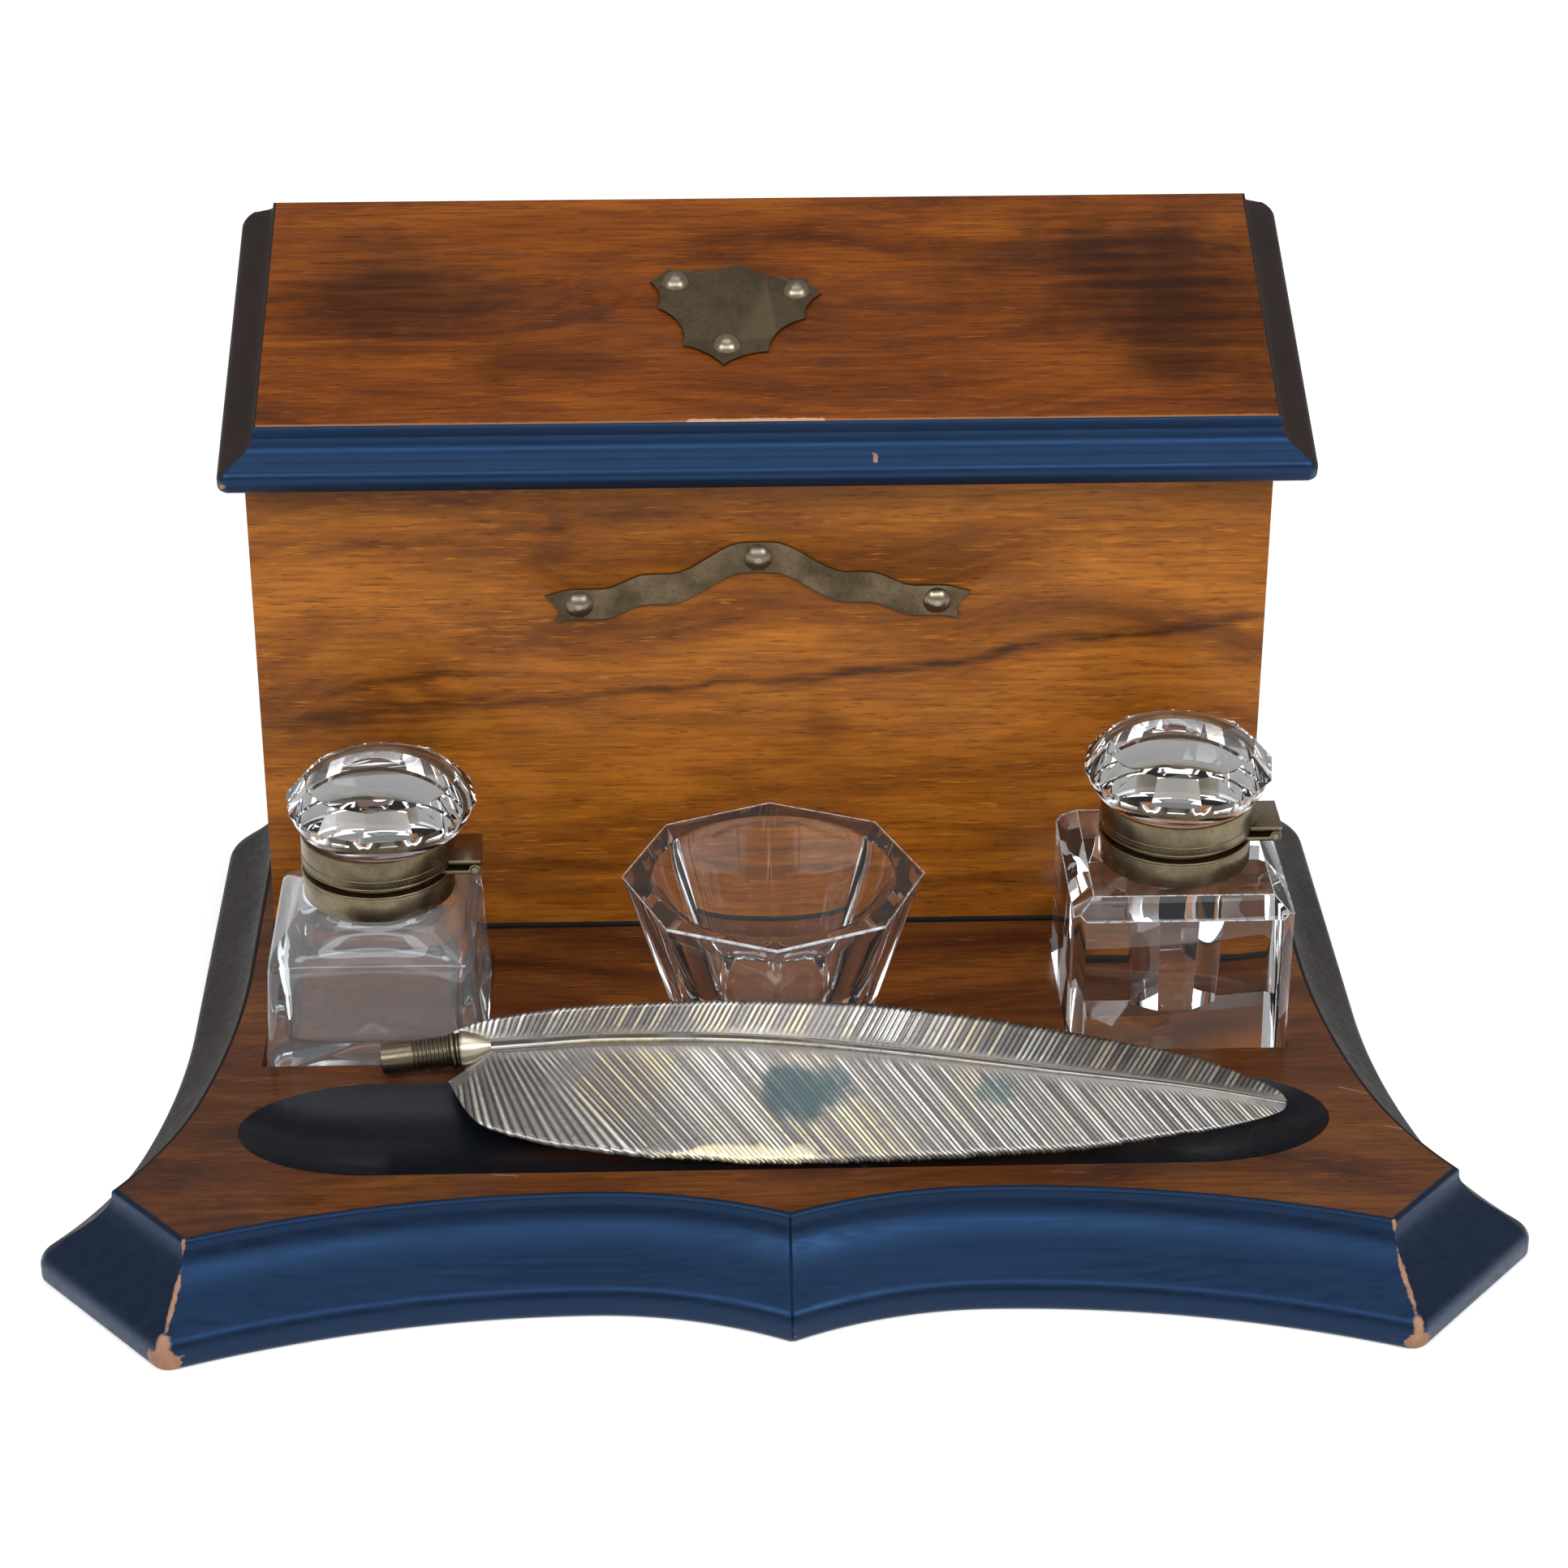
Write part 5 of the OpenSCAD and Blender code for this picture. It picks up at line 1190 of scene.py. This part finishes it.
def measured(points, steps=400):
    """A smooth line as equal short steps, with its length at each."""
    line = [along(points, (len(points) - 1) * k / steps) for k in range(steps + 1)]
    lengths = [0.0]
    for a, b in zip(line, line[1:]):
        lengths.append(lengths[-1] + (b - a).length)
    return line, lengths


def at_length(line, lengths, wanted):
    wanted = min(max(wanted, 0.0), lengths[-1])
    i = min(len(line) - 2, bisect.bisect_right(lengths, wanted) - 1)
    share = (wanted - lengths[i]) / (lengths[i + 1] - lengths[i])
    return line[i].lerp(line[i + 1], share)


def ridged_mesh(name, points, faces, ridges):
    """Mesh from points in millimetres, with how high each stands on its barb as an attribute; the feather's
    finish paints highlight and shade from it.
    """
    mesh = mesh_from(name, points, faces, joined=False)
    layer = mesh.attributes.new("ridge", "FLOAT", "POINT")
    for index, value in enumerate(ridges):
        layer.data[index].value = value
    return mesh


def barb_end(root, lean, edge, edge_at):
    """Where a barb that leans from its root meets the vane's edge, by halving the edge's length."""
    low, high = 0.0, edge_at[-1]
    for _ in range(24):
        guess = (low + high) / 2
        end = at_length(edge, edge_at, guess)
        away = math.hypot(end.y - root.y, end.z - root.z)
        if end.x - root.x < lean * away:
            low = guess
        else:
            high = guess
    return at_length(edge, edge_at, high)


def shell_faces(columns, across):
    """Faces of a thin shell: its top and underside, its two long edges and its two ends."""
    rows = across + 1
    total = (columns + 1) * rows
    faces = []
    for i in range(columns):
        for k in range(across):
            a, b = i * rows + k, (i + 1) * rows + k
            faces.append((a, b, b + 1, a + 1))
            faces.append((total + a, total + a + 1, total + b + 1, total + b))
        a, b = i * rows + across, (i + 1) * rows + across
        faces.append((a, b, total + b, total + a))
        a, b = i * rows, (i + 1) * rows
        faces.append((b, a, total + a, total + b))
    for i in (0, columns):
        for k in range(across):
            a = i * rows + k
            quad = (a, a + 1, total + a + 1, total + a)
            faces.append(quad if i == 0 else quad[::-1])
    return faces


def vane(name, edge, slant, barbs, per_barb, across, plain, seed):
    """One side of the feather as a thin shell, with its columns along the barbs.

    The barbs stand straight out at the root and lean more and more up to FULL_LEAN_AT, then all alike.
    """
    rng = random.Random(seed)
    roots, root_at = measured([edge[0]] + SHAFT_LINE[:1])
    shaft, shaft_at = measured(SHAFT_LINE)
    outer, outer_at = measured(edge)
    before = root_at[-1]
    whole = before + shaft_at[-1]
    reaches = []
    while len(reaches) < barbs + 2:
        group = 1 - 0.022 * rng.random()
        for _ in range(rng.randint(4, 11)):
            reaches.append(group - 0.012 * rng.random())
    strengths = [0.45 + 0.55 * rng.random() for _ in range(barbs + 2)]
    columns = barbs * per_barb
    top, under, ridges = [], [], []
    for i in range(columns + 1):
        travel = whole * i / columns
        root = (at_length(roots, root_at, travel) if travel < before
                else at_length(shaft, shaft_at, travel - before))
        end = barb_end(root, slant * min(1.0, travel / FULL_LEAN_AT), outer, outer_at)
        phase = i / per_barb
        strength = strengths[int(phase)]
        hump = abs(math.sin(math.pi * phase)) ** 0.7 * strength
        gap = 1.0 if rng.random() < 0.02 else 0.0
        reach = reaches[int(phase)] - 0.012 * (1 - hump)
        length = (end - root).length
        for k in range(across + 1):
            s = k / across
            point = root.lerp(end, s * reach)
            thin = VANE_THICK * (1 - 0.55 * s) * min(1.0, 0.35 + (whole - travel) / 14)
            fade = min(1.0, max(0.0, s * length - plain) / 1.5) * min(1.0, (1.04 - s) * 9)
            lift = thin + BARB_HEIGHT * (hump - 0.35) * fade - 0.1 * gap * fade
            point = PEN_PLACE + point
            top.append(point + vane_out * lift)
            under.append(point - vane_out * (thin * 0.8))
            # Barb roots along the shaft get a low ridge value, for painted shade in the crease beside the
            # shaft.
            ridges.append(0.12 if k == 0 and travel > before else 0.55 + (hump - 0.55) * fade)
    return ridged_mesh(name, top + under, shell_faces(columns, across), ridges + [0.5] * len(under))


def shaft_mesh(name, count=120, around=14):
    """Shaft of the feather: half round, with a groove along its back."""
    points, ridges = [], []
    for i in range(count + 1):
        u = LAST * i / count
        share = i / count
        p = PEN_PLACE + along(SHAFT_LINE, u)
        ahead = (along(SHAFT_LINE, min(LAST, u + 0.02)) - along(SHAFT_LINE, max(0, u - 0.02))).normalized()
        side = ahead.cross(vane_out).normalized()
        r = SHAFT_R + (SHAFT_TIP_R - SHAFT_R) * share
        for k in range(around):
            a = 2 * math.pi * k / around
            off_top = (a - math.pi / 2 + math.pi) % (2 * math.pi) - math.pi
            notch = 0.32 * r * math.exp(-(off_top / 0.36) ** 2)
            points.append(p + (side * math.cos(a) * r) + vane_out * ((r - notch) * math.sin(a)))
            # The groove along the shaft's back gets a low ridge value, for painted shade in it.
            ridges.append(0.15 if notch > 0.15 * r else 0.9)
    faces = ring_faces(count + 1, around)
    faces.append(list(range(around)))
    faces.append(list(range(count * around, (count + 1) * around))[::-1])
    return ridged_mesh(name, points, faces, ridges)


lower_vane = vane("feather_lower_vane", LOW_EDGE, 0.75, 150, 6, 12, 3.2, 5)
stand_in("feather_lower_vane", lower_vane, "quill_feather")
upper_vane = vane("feather_upper_vane", UP_EDGE, 0.55, 150, 6, 8, 1.6, 9)
add_on("feather_upper_vane", upper_vane, "quill_feather")
add_on("feather_shaft", shaft_mesh("feather_shaft"), "quill_feather")


# ---- ferrule
def ferrule_profile():
    """Section of the ferrule: socket, plain sleeve, wound rings, two beads and the cone."""
    length = (Vector(SHAFT_LINE[0]) - FERRULE_START).length + 0.7
    socket_r, socket_len, r = 2.6, 13.0, 3.65
    wound_from, pitch, turns, cone_foot_r = 7.4, 0.95, 9, 4.35
    points = [(0, socket_len), (socket_r, socket_len), (socket_r, 0.3), (socket_r + 0.2, 0.0)]
    points += [(r - 0.25, 0.0), (r, 0.25), (r, wound_from - 0.2)]
    for k in range(turns):
        points += groove(r - 0.05, wound_from + pitch * k, 0.26)
        points += bead(r - 0.1, wound_from + 0.55 + pitch * k, 0.2)
    z = wound_from + pitch * turns + 0.3
    points += bead(r + 0.1, z, 0.55) + bead(r, z + 1.2, 0.42)
    z += 2.2
    for k in range(9):
        share = k / 8
        cone_r = cone_foot_r + (SHAFT_R - cone_foot_r) * share ** 1.25 + 0.25 * math.sin(math.pi * share)
        points.append((cone_r, z + (length - z) * share))
    points.append((0, length))
    return points


ferrule_axis = Vector(SHAFT_LINE[0]) - FERRULE_START
ferrule = turned("ferrule_turned", ferrule_profile(), PEN_PLACE + FERRULE_START, ferrule_axis)
stand_in("ferrule_turned", ferrule, "quill_ferrule")
smooth_by_angle(ferrule, 38)


# ---- floor, light and camera
def pale_floor():
    """Pale floor that shows as white to the camera, in reflections and through glass."""
    t = Tree("pale_floor")
    t.shade(Base_Color=(0.86, 0.86, 0.86), Roughness=0.9, Specular_IOR_Level=0.1)
    rays = t.nodes.new("ShaderNodeLightPath")
    seen = t.math("ADD", rays.outputs["Is Camera Ray"], rays.outputs["Is Glossy Ray"], True)
    seen = t.math("ADD", seen, rays.outputs["Is Transmission Ray"], True)
    t.feed(t.shader.inputs["Emission Color"], (1.0, 1.0, 1.0))
    t.feed(t.shader.inputs["Emission Strength"], t.math("MULTIPLY", seen, 0.45))
    return t.material


floor_mesh = bpy.data.meshes.new("floor")
reach = 6.0
floor_corners = [(-reach, -reach, 0), (reach, -reach, 0), (reach, reach, 0), (-reach, reach, 0)]
floor_mesh.from_pydata(floor_corners, [], [(0, 1, 2, 3)])
floor_mesh.materials.append(pale_floor())
placed("floor", floor_mesh)

world = bpy.data.worlds.new("studio")
bpy.context.scene.world = world
world.use_nodes = True
sky = world.node_tree.nodes["Background"]
sky.inputs["Color"].default_value = (1.0, 1.0, 1.0, 1.0)
world_rays = world.node_tree.nodes.new("ShaderNodeLightPath")
level = world.node_tree.nodes.new("ShaderNodeMapRange")
level.inputs["To Min"].default_value = 0.40
level.inputs["To Max"].default_value = 1.0
world.node_tree.links.new(world_rays.outputs["Is Camera Ray"], level.inputs["Value"])
world.node_tree.links.new(level.outputs["Result"], sky.inputs["Strength"])


def soft_lamp(name, place, wide, tall, power, colour):
    """Soft lamp that faces the middle of the stand."""
    data = bpy.data.lights.new(name, "AREA")
    data.shape = "RECTANGLE"
    data.size, data.size_y = wide, tall
    data.energy = power
    data.color = colour
    lamp = placed(name, data)
    lamp.location = place
    lamp.rotation_mode = "QUATERNION"
    lamp.rotation_quaternion = (STAND_MIDDLE - Vector(place)).to_track_quat("-Z", "Y")


STAND_MIDDLE = Vector((0.0, 0.0, 0.08))
soft_lamp("window_left", (-1.02, -0.93, 1.15), 0.6, 0.6, 6.5, (1.0, 0.99, 0.97))
soft_lamp("window_right", (1.02, -0.93, 1.15), 0.5, 0.5, 6.5, (1.0, 1.0, 1.0))
soft_lamp("front", (0.10, -1.20, 1.25), 1.8, 0.42, 10.5, (0.92, 0.96, 1.0))
soft_lamp("ceiling", (0.0, -0.10, 1.60), 1.3, 0.7, 4.5, (0.95, 0.98, 1.0))

# camera: focal length and optical centre in pixels of the square image, place and turn in the stand's frame
IMAGE, FOCAL, CENTRE_X, CENTRE_Y = 1932, 4789.5, 963.6, 943.6
YAW, PITCH = 0.029, 0.486
camera_data = bpy.data.cameras.new("camera")
camera_data.sensor_width = 36.0
camera_data.lens = FOCAL * camera_data.sensor_width / IMAGE
camera_data.shift_x = (IMAGE / 2 - CENTRE_X) / IMAGE
camera_data.shift_y = (CENTRE_Y - IMAGE / 2) / IMAGE
camera_data.clip_start, camera_data.clip_end = 0.05, 50.0
camera = placed("camera", camera_data)
camera.location = Vector((-22.28, -799.10, 506.87)) * MM
look = Vector((math.sin(YAW) * math.cos(PITCH), math.cos(YAW) * math.cos(PITCH), -math.sin(PITCH)))
camera.rotation_mode = "QUATERNION"
camera.rotation_quaternion = look.to_track_quat("-Z", "Y")
bpy.context.scene.camera = camera
bpy.context.scene.view_settings.view_transform = "Standard"
